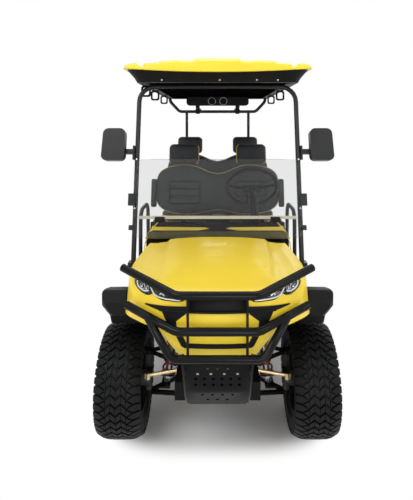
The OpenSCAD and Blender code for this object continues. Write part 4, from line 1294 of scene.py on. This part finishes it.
@dataclass
class Roof:
    """Ribbed roof moulding: a crowned section with ribs and gutters, carried from front to rear, in mm."""

    shop: Workshop
    half: float = 610.0
    front: float = 350.0
    length: float = 2050.0
    edge_z: float = 2045.0
    # Section: share of the half width, height over the crown
    ribs: tuple = ((0, 26), (0.225, 26), (0.25, 14), (0.38, 12), (0.41, 18), (0.6, 14), (0.64, 5), (0.78, 2),
                   (0.795, -14), (0.835, -14), (0.855, 8), (0.94, 4), (0.985, -8), (1, -26))
    # Rows at the front and at the rear: distance from the end, shares of width, crown and ribs
    ends: tuple = ((0, 0.955, 0.55, 0.2), (12, 0.98, 0.85, 0.7), (50, 1, 1.08, 1), (160, 1, 1.12, 1))
    tail: tuple = ((160, 0.995, 1.1, 1), (50, 0.97, 0.95, 1), (12, 0.94, 0.7, 0.6), (0, 0.92, 0.4, 0))
    crown: float = 62.0
    crown_fall: float = 14.0
    rim: float = 6.0
    bow: float = 20.0
    # Levels of the liner, from the rim inwards: inset from the roof's edge, height, share of the bow
    liner: tuple = ((20, -1, 1), (60, -35, 0.2), (75, -60, 0), (140, -60, 0))
    ceiling: tuple = ((140, -60, 0), (150, -28, 0))
    liner_corner: float = 70.0
    liner_reach: float = 8.0
    # Ceiling ribs: places across, width and depth, foot below the rim, and ends set in from the roof's
    rib_places: tuple = (-330, -110, 110, 330)
    rib_size: tuple = (44, 10)
    rib_drop: float = 37.0
    rib_end: float = 210.0
    # Bolts in the liner's front: places across, y and z, direction, radius and height
    bolts: tuple = (391, 255, 14, -362)
    bolt_line: tuple = (409.0, 1998.0)
    bolt_way: tuple = (0, -0.8, -0.6)
    bolt_size: tuple = (6.0, 4.0)

    def steps(self) -> np.ndarray:
        """Works out the rows along the roof.

        Returns:
            Distance from the front, and shares of width, crown and ribs.
        """
        start, *shares = self.ends[-1]
        between = np.linspace(start, self.length - self.tail[0][0], num=9)[1:-1]
        back = [(self.length - a, *rest) for a, *rest in self.tail]
        return np.array([*self.ends, *((y, *shares) for y in between), *back], dtype=float)

    def moulding(self) -> Part:
        """Makes the painted top.

        At the share t of the half width its height is the crown's share of (crown - fall t^2) and the ribs'
        share of the rib there. The rim under it is bowed up by t^2 towards the sides.

        Returns:
            Points in metres and faces.
        """
        along, wide, crown, ribbed = np.split(self.steps(), 4, axis=1)
        rib = np.array(self.ribs, dtype=float)
        t = np.concatenate([-rib[:0:-1, 0], rib[:, 0]])[None]
        raised = np.concatenate([rib[:0:-1, 1], rib[:, 1]])[None]
        x = wide * self.half * t
        y = np.broadcast_to(self.front + along, x.shape)
        bow = self.bow * t**2
        z = np.maximum(self.rim + bow, crown * (self.crown - self.crown_fall * t**2) + ribbed * raised)
        top = np.stack([x, y, self.edge_z + z], axis=-1)
        under = np.stack([x, y, self.edge_z + np.broadcast_to(bow, x.shape)], axis=-1)
        loop = np.concatenate([top, under[:, ::-1]], axis=1)
        rows, cols = loop.shape[:2]
        faces = grid_faces(rows, cols, wrap_cols=True)
        front = [[k, k + 1, cols - 2 - k, cols - 1 - k] for k in range(t.size - 1)]
        rear = [[(rows - 1) * cols + v for v in f[::-1]] for f in front]
        return axle_frame(loop), faces + front + rear

    def lining(self, levels: tuple) -> Part:
        """Makes rings of the liner.

        Args:
            levels: inset, height and share of the bow of each ring.

        Returns:
            Points in metres, rings by points by three, and faces.
        """
        rings = []
        for inset, height, bowed in levels:
            long = self.length - 2 * (inset - self.liner_reach)
            x, y = rounded_box(2 * (self.half - inset), long, self.liner_corner, steps=10).T
            z = self.edge_z + height + bowed * self.bow * (x / self.half) ** 2
            rings.append(np.stack([x, y + self.front + self.length / 2, z], axis=-1))
        pts = np.stack(rings)
        return axle_frame(pts), grid_faces(*pts.shape[:2], wrap_cols=True)

    def build(self) -> None:
        """Makes the painted top, the liner, the ceiling with its ribs, and the bolts at the front."""
        top = make_object("roof_moulding", *self.moulding(), self.shop.finishes[Look.yellow])
        round_edges(top, width=0.003, angle=24, harden=False)
        self.shop.settle(top, CHASSIS, "roof_shell")
        self.shop.make("roof_lining", [self.lining(self.liner)], Look.black_plastic, "roof_liner")
        sides, faces = self.lining(self.ceiling)
        count = sides.shape[1]
        wide, deep = self.rib_size
        outline = rounded_box(wide, self.length - 2 * self.rib_end, r=8)
        feet = [(x, self.front + self.length / 2, self.edge_z - self.rib_drop) for x in self.rib_places]
        ribs = [plate(outline, deep, edge=3.0, origin=foot, axes=np.eye(3)) for foot in feet]
        ceiling = (sides, faces + [list(range(count, 2 * count))])
        self.shop.make("roof_ceiling", [ceiling, *in_axle_frame(ribs)], Look.ceiling)
        heads = [stud((x, *self.bolt_line), self.bolt_way, *self.bolt_size, sides=12) for x in self.bolts]
        self.shop.make("roof_bolts", in_axle_frame(heads), Look.bolt)


# Seats


@dataclass
class Pad:
    """One stuffed pad over an outline, with piping round its edge and seams on its face.

    The pad's face is the outline shrunk towards its middle by the share p; its half thickness there is
    (1 - p^n)^(1/n) of the greatest, so it is nearly flat in the middle and round at the edge.
    """

    name: str
    outline: np.ndarray
    thickness: float
    origin: np.ndarray
    axes: np.ndarray
    round_power: float = 3.2
    seam_heights: tuple = ()
    seam_span: tuple = (0.0, 0.0)
    sides_only: bool = False
    rings: int = 60
    ring_power: float = 0.9
    piping_radius: float = 0.0036
    seam_radius: float = 0.004

    def depth(self, p: np.ndarray) -> np.ndarray:
        """Half thickness at the share p of the way from the middle to the outline."""
        return (1 - p**self.round_power) ** (1 / self.round_power) * self.thickness / 2

    def place(self, flat: np.ndarray, depth: np.ndarray) -> np.ndarray:
        """Moves points of width and height, with a depth for each, to the seat's place."""
        return self.origin + np.concatenate([flat, depth[..., None]], axis=-1) @ self.axes

    def points(self) -> np.ndarray:
        """Works out the pad, ring by ring from the middle of the face to the middle of the back.

        Returns:
            Points in metres, rings by points by three.
        """
        p = np.sin(np.linspace(0, np.pi / 2, self.rings)) ** self.ring_power
        depth = np.concatenate([self.depth(p), -self.depth(p)[-2::-1]])
        p = np.concatenate([p, p[-2::-1]])
        mid = self.outline.mean(axis=0)
        flat = mid + p[:, None, None] * (self.outline - mid)
        return self.place(flat, np.broadcast_to(depth[:, None], flat.shape[:2]))

    def on_face(self, flat: np.ndarray) -> np.ndarray:
        """Lays points onto the pad's face, by their share of the way to the outline.

        Args:
            flat: points of width and height.

        Returns:
            Points in metres.
        """
        mid = self.outline.mean(axis=0)
        out, way = self.outline - mid, flat - mid
        turn, edge_turn = (np.arctan2(v[:, 1], v[:, 0]) for v in (way, out))
        edge = np.interp(turn, edge_turn, np.linalg.norm(out, axis=1), period=2 * np.pi)
        return self.place(flat, self.depth(np.linalg.norm(way, axis=1) / edge))

    def seams(self) -> list[Part]:
        """Makes stitched fields on both halves of the face: lines across, joined by one at either end.

        Returns:
            One thin bar a line.
        """
        low, high = self.seam_span
        runs = [((low, z), (high, z)) for z in self.seam_heights]
        runs += [((x, self.seam_heights[0]), (x, self.seam_heights[-1])) for x in (low, high)]
        lines = [divided(run, steps=30) * np.array([sign, 1]) for run in runs for sign in (1, -1)]
        return [sweep(self.on_face(line), self.seam_radius, tuple(self.axes[2]), sides=8) for line in lines]

    def piping(self) -> list[Part]:
        """Makes the piping round the outline, or along its two sides alone.

        Returns:
            One round bar a run.
        """
        runs = [self.place(self.outline, np.zeros(len(self.outline)))]
        if self.sides_only:
            halves = np.split(np.roll(runs[0], len(self.outline) // 4, axis=0), 2)
            runs = [half[2:-4] for half in halves]
        closed = not self.sides_only
        return [sweep(run, self.piping_radius, tuple(self.axes[2]), sides=10, closed=closed) for run in runs]

    def build(self, shop: Workshop, *nodes: str) -> None:
        """Makes the pad, its piping and its seams, whose near-black finish is painted shade of the seam
        grooves.

        Args:
            shop: the workshop.
            nodes: CAD nodes that it replaces.
        """
        pts = self.points()
        body = (pts, grid_faces(*pts.shape[:2], wrap_cols=True))
        obj = shop.make(self.name, [body], Look.vinyl, *nodes, slot="seat_cover", merge=0.00001)
        shop.make(self.name + "_piping", self.piping(), Look.piping, slot="seat_cover")
        if self.seam_heights:
            # The seams are real; their near-black finish without gloss is painted shade of the seam grooves
            shop.make(self.name + "_seams", self.seams(), Look.ceiling, slot="seat_cover")


@dataclass
class Seats:
    """Two bench rows: cushions, backrests with a waist, and headrests."""

    shop: Workshop
    half: float = 0.505
    back_h: float = 0.415
    back_t: float = 0.100
    lean_deg: float = 12.0
    # Waist of the backrest: its half width, and how far it pinches the upper and the lower edge
    waist: float = 0.15
    pinch: tuple = (0.40, 0.20)
    back_seams: tuple = (0.21, 0.36, 0.50, 0.64)
    back_seam_span: tuple = (0.147, 0.394)
    # Headrest: width, height, corner radius, place across, and how much thinner than the backrest
    headrest: tuple = (0.245, 0.170, 0.038)
    headrest_x: float = 0.282
    headrest_thin: float = 0.008
    cushion_t: float = 0.112
    cushion_corner: float = 0.07
    cushion_seams: tuple = (-0.12, -0.04, 0.04, 0.12)
    cushion_seam_span: tuple = (0.06, 0.44)
    # Rows: y and z of the backrest's foot; y, z and depth of the cushion, in mm
    rows_mm: tuple = (("front", (1112, 980), (885, 785, 480)), ("rear", (1930, 1020), (1740, 830, 470)))

    def back_outline(self) -> np.ndarray:
        """Works out two broad lobes: a squared oval whose height is pinched by exp(-(x/waist)^2).

        Returns:
            Points of width and height.
        """
        a = angles(count=400)
        x, z = (np.sign(v) * np.sqrt(np.abs(v)) for v in (np.cos(a), np.sin(a)))
        x = self.half * x
        upper, lower = self.pinch
        z = z * (1 - np.exp(-((x / self.waist) ** 2)) * np.where(z > 0, upper, lower))
        return np.stack([x, self.back_h / 2 * (1 + z)], axis=-1)

    def back(self, row: str, foot: tuple) -> tuple[Pad, list[Pad]]:
        """Makes the leaning pads of a row.

        Args:
            row: name of the row.
            foot: y and z of the backrest's foot in mm.

        Returns:
            The backrest and its two headrests.
        """
        lean = math.radians(self.lean_deg)
        up, ahead = (0, math.sin(lean), math.cos(lean)), (0, -math.cos(lean), math.sin(lean))
        axes = np.array([(1.0, 0, 0), up, ahead])
        mid = axle_frame((0, *foot)) - axes[2] * self.back_t / 2
        heights = tuple(self.back_h * f for f in self.back_seams)
        back = Pad(f"{row}_back_pad", self.back_outline(), self.back_t, mid, axes, seam_heights=heights,
                   seam_span=self.back_seam_span)
        middle_z = self.back_h + self.headrest[1] / 2
        rests = [Pad(f"{row}_headrest_{side}", rounded_box(*self.headrest) + np.array([x, middle_z]),
                     self.back_t - self.headrest_thin, mid, axes, round_power=2.8, sides_only=True)
                 for side, x in (("right", -self.headrest_x), ("left", self.headrest_x))]
        return back, rests

    def cushion(self, row: str, y: float, z: float, depth: float) -> Pad:
        """Makes the cushion of a row.

        Args:
            row: name of the row.
            y: its middle in mm.
            z: its lower face in mm.
            depth: its size from front to rear in mm.

        Returns:
            The cushion.
        """
        outline = rounded_box(2 * self.half, depth / 1000, self.cushion_corner, steps=14)
        origin = axle_frame((0, y, z)) + np.array([0, 0, self.cushion_t / 2])
        return Pad(f"{row}_cushion_pad", outline, self.cushion_t, origin, np.eye(3), round_power=4.0,
                   seam_heights=self.cushion_seams, seam_span=self.cushion_seam_span)

    def build(self) -> None:
        """Makes the pads of both rows; the first pad of a kind stands for the CAD node of that kind."""
        leaning = [self.back(row, foot) for row, foot, _ in self.rows_mm]
        backs = [back for back, _ in leaning]
        rests = [rest for _, pair in leaning for rest in pair]
        cushions = [self.cushion(row, *place) for row, _, place in self.rows_mm]
        for pads, node in ((backs, "seat_backs"), (cushions, "seat_cushions"), (rests, "headrests")):
            pads[0].build(self.shop, node)
            for pad in pads[1:]:
                pad.build(self.shop)


# Wheels and springs


@dataclass
class Tyre:
    """Off-road tyre: a turned carcass with a ring of tread blocks, in mm."""

    shop: Workshop
    radius: float = 292.0
    width: float = 234.0
    rim_radius: float = 178.0
    bead: float = 85.5
    lug: float = 12.0
    pitches: int = 42
    segments: int = 128
    tread_half: float = 103.0
    tread_fall: float = 24.0
    carcass_fall: float = 26.0
    # Sidewall: radius, and distance out from the half width or, further in, from the bead
    wall: tuple = ((250, -3), (240, 0), (228, -1), (214, -5), (208, -4), (204, -4), (201, -9))
    foot: tuple = ((194, 13), (189, 6.5), (178, 0))
    # Blocks are bars across the tread, given by stations: x, and the front and back edge along the tread
    blocks: tuple = (
        ((1.2, 0, 32), (25, -22, 10)),
        ((27.5, -22, 10), (50, 0, 32)),
        ((53, 5, 38), (66, 12, 31), (80, 20, 23)),
        ((63, -3, 3), (84, -16.5, 16.5), (112, -18.5, 18.5), (116.5, -16, 16)))
    block_slope: float = 1.8
    block_sink: float = 2.0

    def fall(self, x: np.ndarray, most: float) -> np.ndarray:
        """Drop from the tread's middle: the fourth power of the share of the half width."""
        return most * np.abs(x / (self.width / 2)) ** 4

    def carcass_radius(self, x: np.ndarray) -> np.ndarray:
        """Radius of the carcass under the tread."""
        return self.radius - self.lug - self.fall(x, self.carcass_fall)

    @staticmethod
    def turned(x: np.ndarray, r: np.ndarray, angle: np.ndarray) -> np.ndarray:
        """Points at a place across, a radius and an angle."""
        return np.stack([np.broadcast_to(x, angle.shape), r * np.cos(angle), r * np.sin(angle)], axis=-1)

    def carcass(self) -> Part:
        """Makes the turned body: tread, shoulders, bulged sidewalls with a rim guard rib, beads.

        Returns:
            Points and faces.
        """
        x = np.linspace(-self.tread_half, self.tread_half, num=25)
        tread = np.stack([self.carcass_radius(x), x], axis=-1)
        sides = ((self.wall, self.width / 2), (self.foot, self.bead))
        wall = np.concatenate([np.array(rows) + np.array([0, x0]) for rows, x0 in sides])
        profile = np.concatenate([wall[::-1] * np.array([1, -1]), tread, wall, [[self.rim_radius, 0.0]]])
        angle = np.broadcast_to(angles(self.segments)[:, None], (self.segments, len(profile)))
        faces = grid_faces(*angle.shape, wrap_rows=True, wrap_cols=True)
        return self.turned(profile[:, 1], profile[:, 0], angle), faces

    def block_ring(self, stations: np.ndarray) -> Part:
        """Makes a ring of like blocks; a station gives a rectangle from the carcass up to the tread's face.

        Args:
            stations: x, and the front and back edge along the tread.

        Returns:
            Points and faces.
        """
        x, front, back = stations.T
        top, low = self.radius - self.fall(x, self.tread_fall), self.carcass_radius(x) - self.block_sink
        r = np.stack([top, top, low, low], axis=-1)
        along = np.stack([front + self.block_slope, back - self.block_slope, back, front], axis=-1)
        angle = angles(self.pitches)[:, None, None] + along / self.radius
        last = r.size - 4
        one = grid_faces(*r.shape, wrap_cols=True) + [[0, 1, 2, 3], [last + 3, last + 2, last + 1, last]]
        faces = [[k + base for k in f] for base in range(0, angle.size, r.size) for f in one]
        return self.turned(x[:, None], r, angle), faces

    def build(self) -> None:
        """Makes the four tyres."""
        rows = [np.array(stations) * np.array([sign, 1, 1]) for sign in (1, -1) for stations in self.blocks]
        verts, faces = join_parts([self.carcass(), *(self.block_ring(row) for row in rows)])
        for wheel, sign, middle in wheel_places():
            parts = [(verts / 1000 * np.array([sign, 1, 1]) + middle, faces)]
            self.shop.make(f"tyre_{wheel}_tread", parts, Look.rubber, f"tyre_{wheel}", body=f"wheel_{wheel}")


@dataclass
class WheelTrim:
    """Nuts and centre cap of each wheel, in metres."""

    shop: Workshop
    nuts: int = 5
    circle: float = 0.046
    face: float = 0.046
    nut_size: tuple = (0.0095, 0.014)
    cap_size: tuple = (0.030, 0.012)

    def build(self) -> None:
        """Makes the trim of four wheels."""
        out = (1.0, 0, 0)
        parts = [stud((self.face, self.circle * math.cos(t), self.circle * math.sin(t)), out, *self.nut_size)
                 for t in angles(self.nuts)]
        verts, faces = join_parts([*parts, stud((self.face, 0, 0), out, *self.cap_size, sides=32)])
        for wheel, sign, middle in wheel_places():
            placed = [(verts * np.array([sign, 1, 1]) + middle, faces)]
            self.shop.make(f"nuts_{wheel}", placed, Look.bolt, body=f"wheel_{wheel}")


@dataclass
class Springs:
    """Coil springs round the dampers: a helix between the lower and the upper perch, in mm."""

    shop: Workshop
    # Lower and upper end of the left dampers, front and rear
    dampers: tuple = (((285, 0, 268.3), (228, 0, 625.7)), ((262, 1908, 333), (262, 1980, 571.7)))
    perches: tuple = (0.14, 0.85)
    outer: float = 38.0
    wire: float = 5.5
    turns: float = 5.0
    count: int = 240

    def helix(self, foot: np.ndarray, head: np.ndarray) -> Part:
        """Makes one spring: a turning radius vector carried along the damper's line.

        Args:
            foot: lower end of the damper.
            head: its upper end.

        Returns:
            Points and faces.
        """
        along = unit(head - foot)
        u = unit(np.cross(along, [0, 1, 0.01]))
        v = np.cross(along, u)
        t = np.linspace(*self.perches, self.count)[:, None]
        turn = np.linspace(0, 2 * np.pi * self.turns, self.count)[:, None]
        path = foot + (head - foot) * t + (self.outer - self.wire) * (np.cos(turn) * u + np.sin(turn) * v)
        return sweep(path, self.wire, tuple(along), sides=10)

    def build(self) -> None:
        """Makes the four springs."""
        left = [self.helix(*np.array(ends, dtype=float)) for ends in self.dampers]
        self.shop.make("coil_wire", mirrored(in_axle_frame(left)), Look.red, "coil_springs")


# Windscreen and cabin fittings


@dataclass
class Screen:
    """Folding windscreen between the posts: two panes, hinge strip, clips and screws, in mm."""

    shop: Workshop
    foot: tuple = (0, 340, 800)
    lean_deg: float = 12.5
    half: float = 541.0
    # Panes: CAD node, distance in front of the posts, lower and upper edge along the posts
    panes: tuple = (("windscreen_lower", 24.0, 182, 688), ("windscreen_upper", 34.0, 300, 687))
    pane_corner: float = 24.0
    pane_thick: float = 6.0
    pane_edge: float = 0.8
    # Cut for the post clamps: lower and upper edge, and depth
    clamps: tuple = (384, 463, 10)
    # Strip and clips: width, height, corner; middle; thickness, sloped edge, distance in front of the posts
    strip: tuple = ((1016, 20, 8), (0, 310), (10.0, 1.5, 41.0))
    clip: tuple = ((62, 34, 6), (369, 296), (16.0, 2.0, 50.0))
    screws: tuple = ((538, 690), (538, 370))
    screw_size: tuple = (6.0, 5.0)
    screw_ahead: float = 15.0

    def on_post(self, part: Part) -> Part:
        """Turns a part with z along the posts into metres of the CAD's frame.

        Args:
            part: points and faces.

        Returns:
            The part in its place.
        """
        a = math.radians(self.lean_deg)
        turn = np.array([[1, 0, 0], [0, math.cos(a), -math.sin(a)], [0, math.sin(a), math.cos(a)]])
        return axle_frame(part[0] @ turn + np.array(self.foot, dtype=float)), part[1]

    def slab(self, outline: np.ndarray, thickness: float, edge: float, ahead: float) -> Part:
        """Makes a flat piece in front of the posts.

        Args:
            outline: points across and along the posts.
            thickness: its depth.
            edge: width of its sloped edge.
            ahead: distance of its rear face in front of the posts.

        Returns:
            Points in metres and faces.
        """
        return self.on_post(plate(outline, thickness, edge, (0.0, -ahead, 0.0), UPRIGHT))

    def pane_outline(self, low: float, high: float) -> np.ndarray:
        """Works out a pane with rounded corners, cut out where the post clamps reach over it.

        Args:
            low: lower edge along the posts.
            high: upper edge along the posts.

        Returns:
            The outline.
        """
        box = rounded_box(2 * self.half, high - low, self.pane_corner) + np.array([0, (low + high) / 2])
        upper, lower = np.split(box, 2)
        start, end, deep = self.clamps
        cut = np.array([(0, start), (-deep, start), (-deep, end), (0, end)]) + np.array([self.half, 0])
        return np.concatenate([cut, upper, cut[::-1] * np.array([-1, 1]), lower])

    def build(self) -> None:
        """Makes the panes, the strip, the clips and the screws."""
        for node, ahead, low, high in self.panes:
            pane = self.slab(self.pane_outline(low, high), self.pane_thick, self.pane_edge, ahead)
            self.shop.make(node.replace("windscreen", "screen_pane"), [pane], Look.pane, node)
        strip, clip = (self.slab(rounded_box(*size) + np.array(middle), *depth)
                       for size, middle, depth in (self.strip, self.clip))
        self.shop.make("hinge_strip", [strip], Look.strip, slot="screen")
        self.shop.make("hinge_clips", mirrored([clip]), Look.black_plastic)
        heads = [self.on_post(stud((x, -self.screw_ahead, z), (0, -1.0, 0), *self.screw_size, sides=16))
                 for x, z in self.screws]
        self.shop.make("post_screws", mirrored(heads), Look.bolt)


@dataclass
class Dash:
    """Dashboard trim: painted panels with side edges, a cover of painted shade behind the hood and a
    binnacle, in mm.
    """

    shop: Workshop
    # Place and lean of the panels and of the cover, a sheet of painted shade, and their outlines across and
    # upwards
    panel_foot: tuple = (0, 424.0, 1004.0)
    panel_axes: tuple = ((1, 0, 0), (0, 0.07, 1.0), (0, -1.0, 0.07))
    panel: tuple = ((56, 22), (130, 10), (424, 10), (440, 4), (428, 42), (400, 34), (80, 30))
    cover: tuple = ((-474, -44), (474, -44), (448, 4), (-448, 4))
    panel_thick: tuple = (4.0, 1.2)
    edge: tuple = ((-387, 430, 1072), (-452, 425, 1000), (-474, 415, 930), (-478, 400, 880))
    edge_bend: float = 60.0
    edge_radius: float = 4.0
    # Upright pieces: foot across and up, rear face, thickness and sloped edge
    hump: tuple = ((-78, 0), (78, 0), (54, 34), (34, 46), (-34, 46), (-54, 34))
    hump_place: tuple = ((0, 1056), 527, (64.0, 5.0))
    gauge: tuple = (150, 86, 16)
    gauge_place: tuple = ((246, 1010), 583, (10.0, 3.0))
    switch: tuple = (26, 40, 5)
    switch_place: tuple = (((-60, 965), (-20, 965), (20, 965), (60, 965)), 589, (14.0, 2.0))

    def leaning(self, outline: tuple) -> Part:
        """Makes a thin sheet in the plane of the panels."""
        return plate(outline, *self.panel_thick, self.panel_foot, np.array(self.panel_axes))

    @staticmethod
    def upright(outline: tuple | np.ndarray, middle: tuple, y: float, thick: tuple) -> Part:
        """Makes an upright slab that faces the nose.

        Args:
            outline: points across and upwards.
            middle: place of the outline's zero point.
            y: place of the rear face.
            thick: thickness and width of the sloped edge.

        Returns:
            Points and faces.
        """
        return plate(np.array(outline) + np.array(middle), *thick, (0, y, 0), UPRIGHT)

    def build(self) -> None:
        """Makes the cover of painted shade, the panels with their edges, and the binnacle with gauge and
        switches.
        """
        # The cover's dark yellow is painted shade and a painted reflection of the hood, in the gap behind it
        self.shop.make("cowl_cover", in_axle_frame([self.leaning(self.cover)]), Look.cowl_shade)
        edge = sweep(round_path(self.edge, self.edge_bend), self.edge_radius, (0, 1, 0), sides=10)
        panels = in_axle_frame([self.leaning(self.panel), edge])
        self.shop.make("dash_panels", mirrored(panels), Look.yellow)
        places, y, thick = self.switch_place
        dark = [self.upright(self.hump, *self.hump_place),
                self.upright(rounded_box(*self.gauge), *self.gauge_place)]
        dark += [self.upright(rounded_box(*self.switch), place, y, thick) for place in places]
        self.shop.make("dash_binnacle", in_axle_frame(dark), Look.gloss_black)


@dataclass
class HandWheel:
    """Steering wheel with a broad pad, two side spokes and a double lower spoke, in mm."""

    shop: Workshop
    middle: tuple = (246, 700, 1261)
    slope_deg: float = 38.0
    radius: float = 178.0
    # Rim: its own radius, with finger waves round it
    rim: float = 14.0
    wave: float = 1.2
    waves: int = 12
    # Middle lines of the left spokes, their radius at the pad and at the rim, and how flat they are
    spokes: tuple = (((52, 4, -14), (110, 16, -12), (174, 26, -2)),
                     ((18, -30, -14), (24, -100, -12), (34, -174, -2)))
    spoke_radii: tuple = (19, 12)
    spoke_flat: float = 0.5
    pad: tuple = ((-64, 30), (-82, 14), (-70, -12), (-46, -50), (46, -50), (70, -12), (82, 14), (64, 30))
    pad_depth: tuple = (26.0, 8.0)
    pad_foot: tuple = (0, 0, -24.0)
    # Shaft and boss: place of the foot along the axis, radius, height and sides
    hub: tuple = ((-110.0, 12.0, 90.0, 20), (-44.0, 38.0, 26.0, 28))

    def build(self) -> None:
        """Makes all parts in the wheel's own plane, whose third axis faces the driver, and turns them."""
        axis = (0, 0, 1.0)
        turn = angles(count=96)
        circle = self.radius * np.stack([np.cos(turn), np.sin(turn), np.zeros_like(turn)], axis=-1)
        grip = self.rim + self.wave * np.cos(self.waves * turn)
        parts = [sweep(circle, grip, axis, sides=16, closed=True)]
        thick = np.linspace(*self.spoke_radii, num=12)
        parts += mirrored([sweep(spline_rows(line, thick.size), thick, axis, sides=14, flat=self.spoke_flat)
                           for line in self.spokes])
        parts.append(plate(self.pad, *self.pad_depth, self.pad_foot, np.eye(3)))
        parts += [stud((0, 0, z), axis, radius, height, sides) for z, radius, height, sides in self.hub]
        verts, faces = join_parts(parts)
        a = math.radians(self.slope_deg)
        axes = np.array([[1, 0, 0], [0, -math.sin(a), math.cos(a)], [0, math.cos(a), math.sin(a)]])
        parts = [(axle_frame(verts @ axes + np.array(self.middle, dtype=float)), faces)]
        self.shop.make("hand_wheel_grip", parts, Look.frame_black, "steering_wheel", body="hand_wheel")


@dataclass
class SoundBar:
    """Speaker rings and cones of the sound bar, and the saddles beside it, in mm."""

    shop: Workshop
    face: float = 2088.0
    mid_z: float = 1950.0
    speakers: tuple = (-59, 59)
    radius: float = 37.0
    wire: float = 2.6
    # Cone: distance in front of its rear edge, and radius there
    cone: tuple = ((0.0, 35), (1.5, 30), (3.0, 20), (4.0, 10), (3.5, 3))
    # Saddle: middle, half width and height, radius of its bar
    saddle: tuple = (203, 2200, 1846)
    saddle_half: tuple = (30, 34)
    saddle_bar: float = 6.0

    def build(self) -> None:
        """Makes the saddles, rings and cones."""
        a = angles(count=48)
        around = np.stack([np.cos(a), np.zeros_like(a), np.sin(a)], axis=-1)
        wide, tall = self.saddle_half
        arch = around[: a.size // 2 + 1] * np.array([wide, 0, tall]) + np.array(self.saddle)
        saddle = sweep(arch, self.saddle_bar, (0, 1, 0), sides=10)
        self.shop.make("bar_saddles", mirrored(in_axle_frame([saddle])), Look.frame_black)
        ahead, radii = np.array(self.cone).T
        rings, cones = [], []
        for x in self.speakers:
            loop = self.radius * around + np.array([x, self.face - 1, self.mid_z])
            rings.append(sweep(loop, self.wire, (0, 1, 0), sides=10, closed=True))
            line = np.array([x, self.face + 1, self.mid_z]) - ahead[:, None] * np.array([0, 1, 0])
            cones.append(sweep(line, radii, (0, 0, 1), sides=40))
        self.shop.make("speaker_rings", in_axle_frame(rings), Look.steel)
        self.shop.make("speaker_cones", in_axle_frame(cones), Look.mat)


def main() -> None:
    """Builds the stage and the cart, sub-assembly by sub-assembly."""
    logging.basicConfig(level=logging.INFO, format="%(name)s: %(message)s")
    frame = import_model()
    shop = Workshop(frame, Finishes())
    Stage().build()
    # Members with the same finish and bevel are aliases, so the full table is walked
    for node, dressing in Dressing.__members__.items():
        shop.dress(node, *dressing.value)
    nose = Nose(shop)
    for part in (nose, Lamps(shop, nose), Grille(shop, nose), Roof(shop), Seats(shop), Tyre(shop),
                 Springs(shop), Screen(shop), Dash(shop), HandWheel(shop), SoundBar(shop), WheelTrim(shop)):
        part.build()


if __name__ == "__main__":
    main()
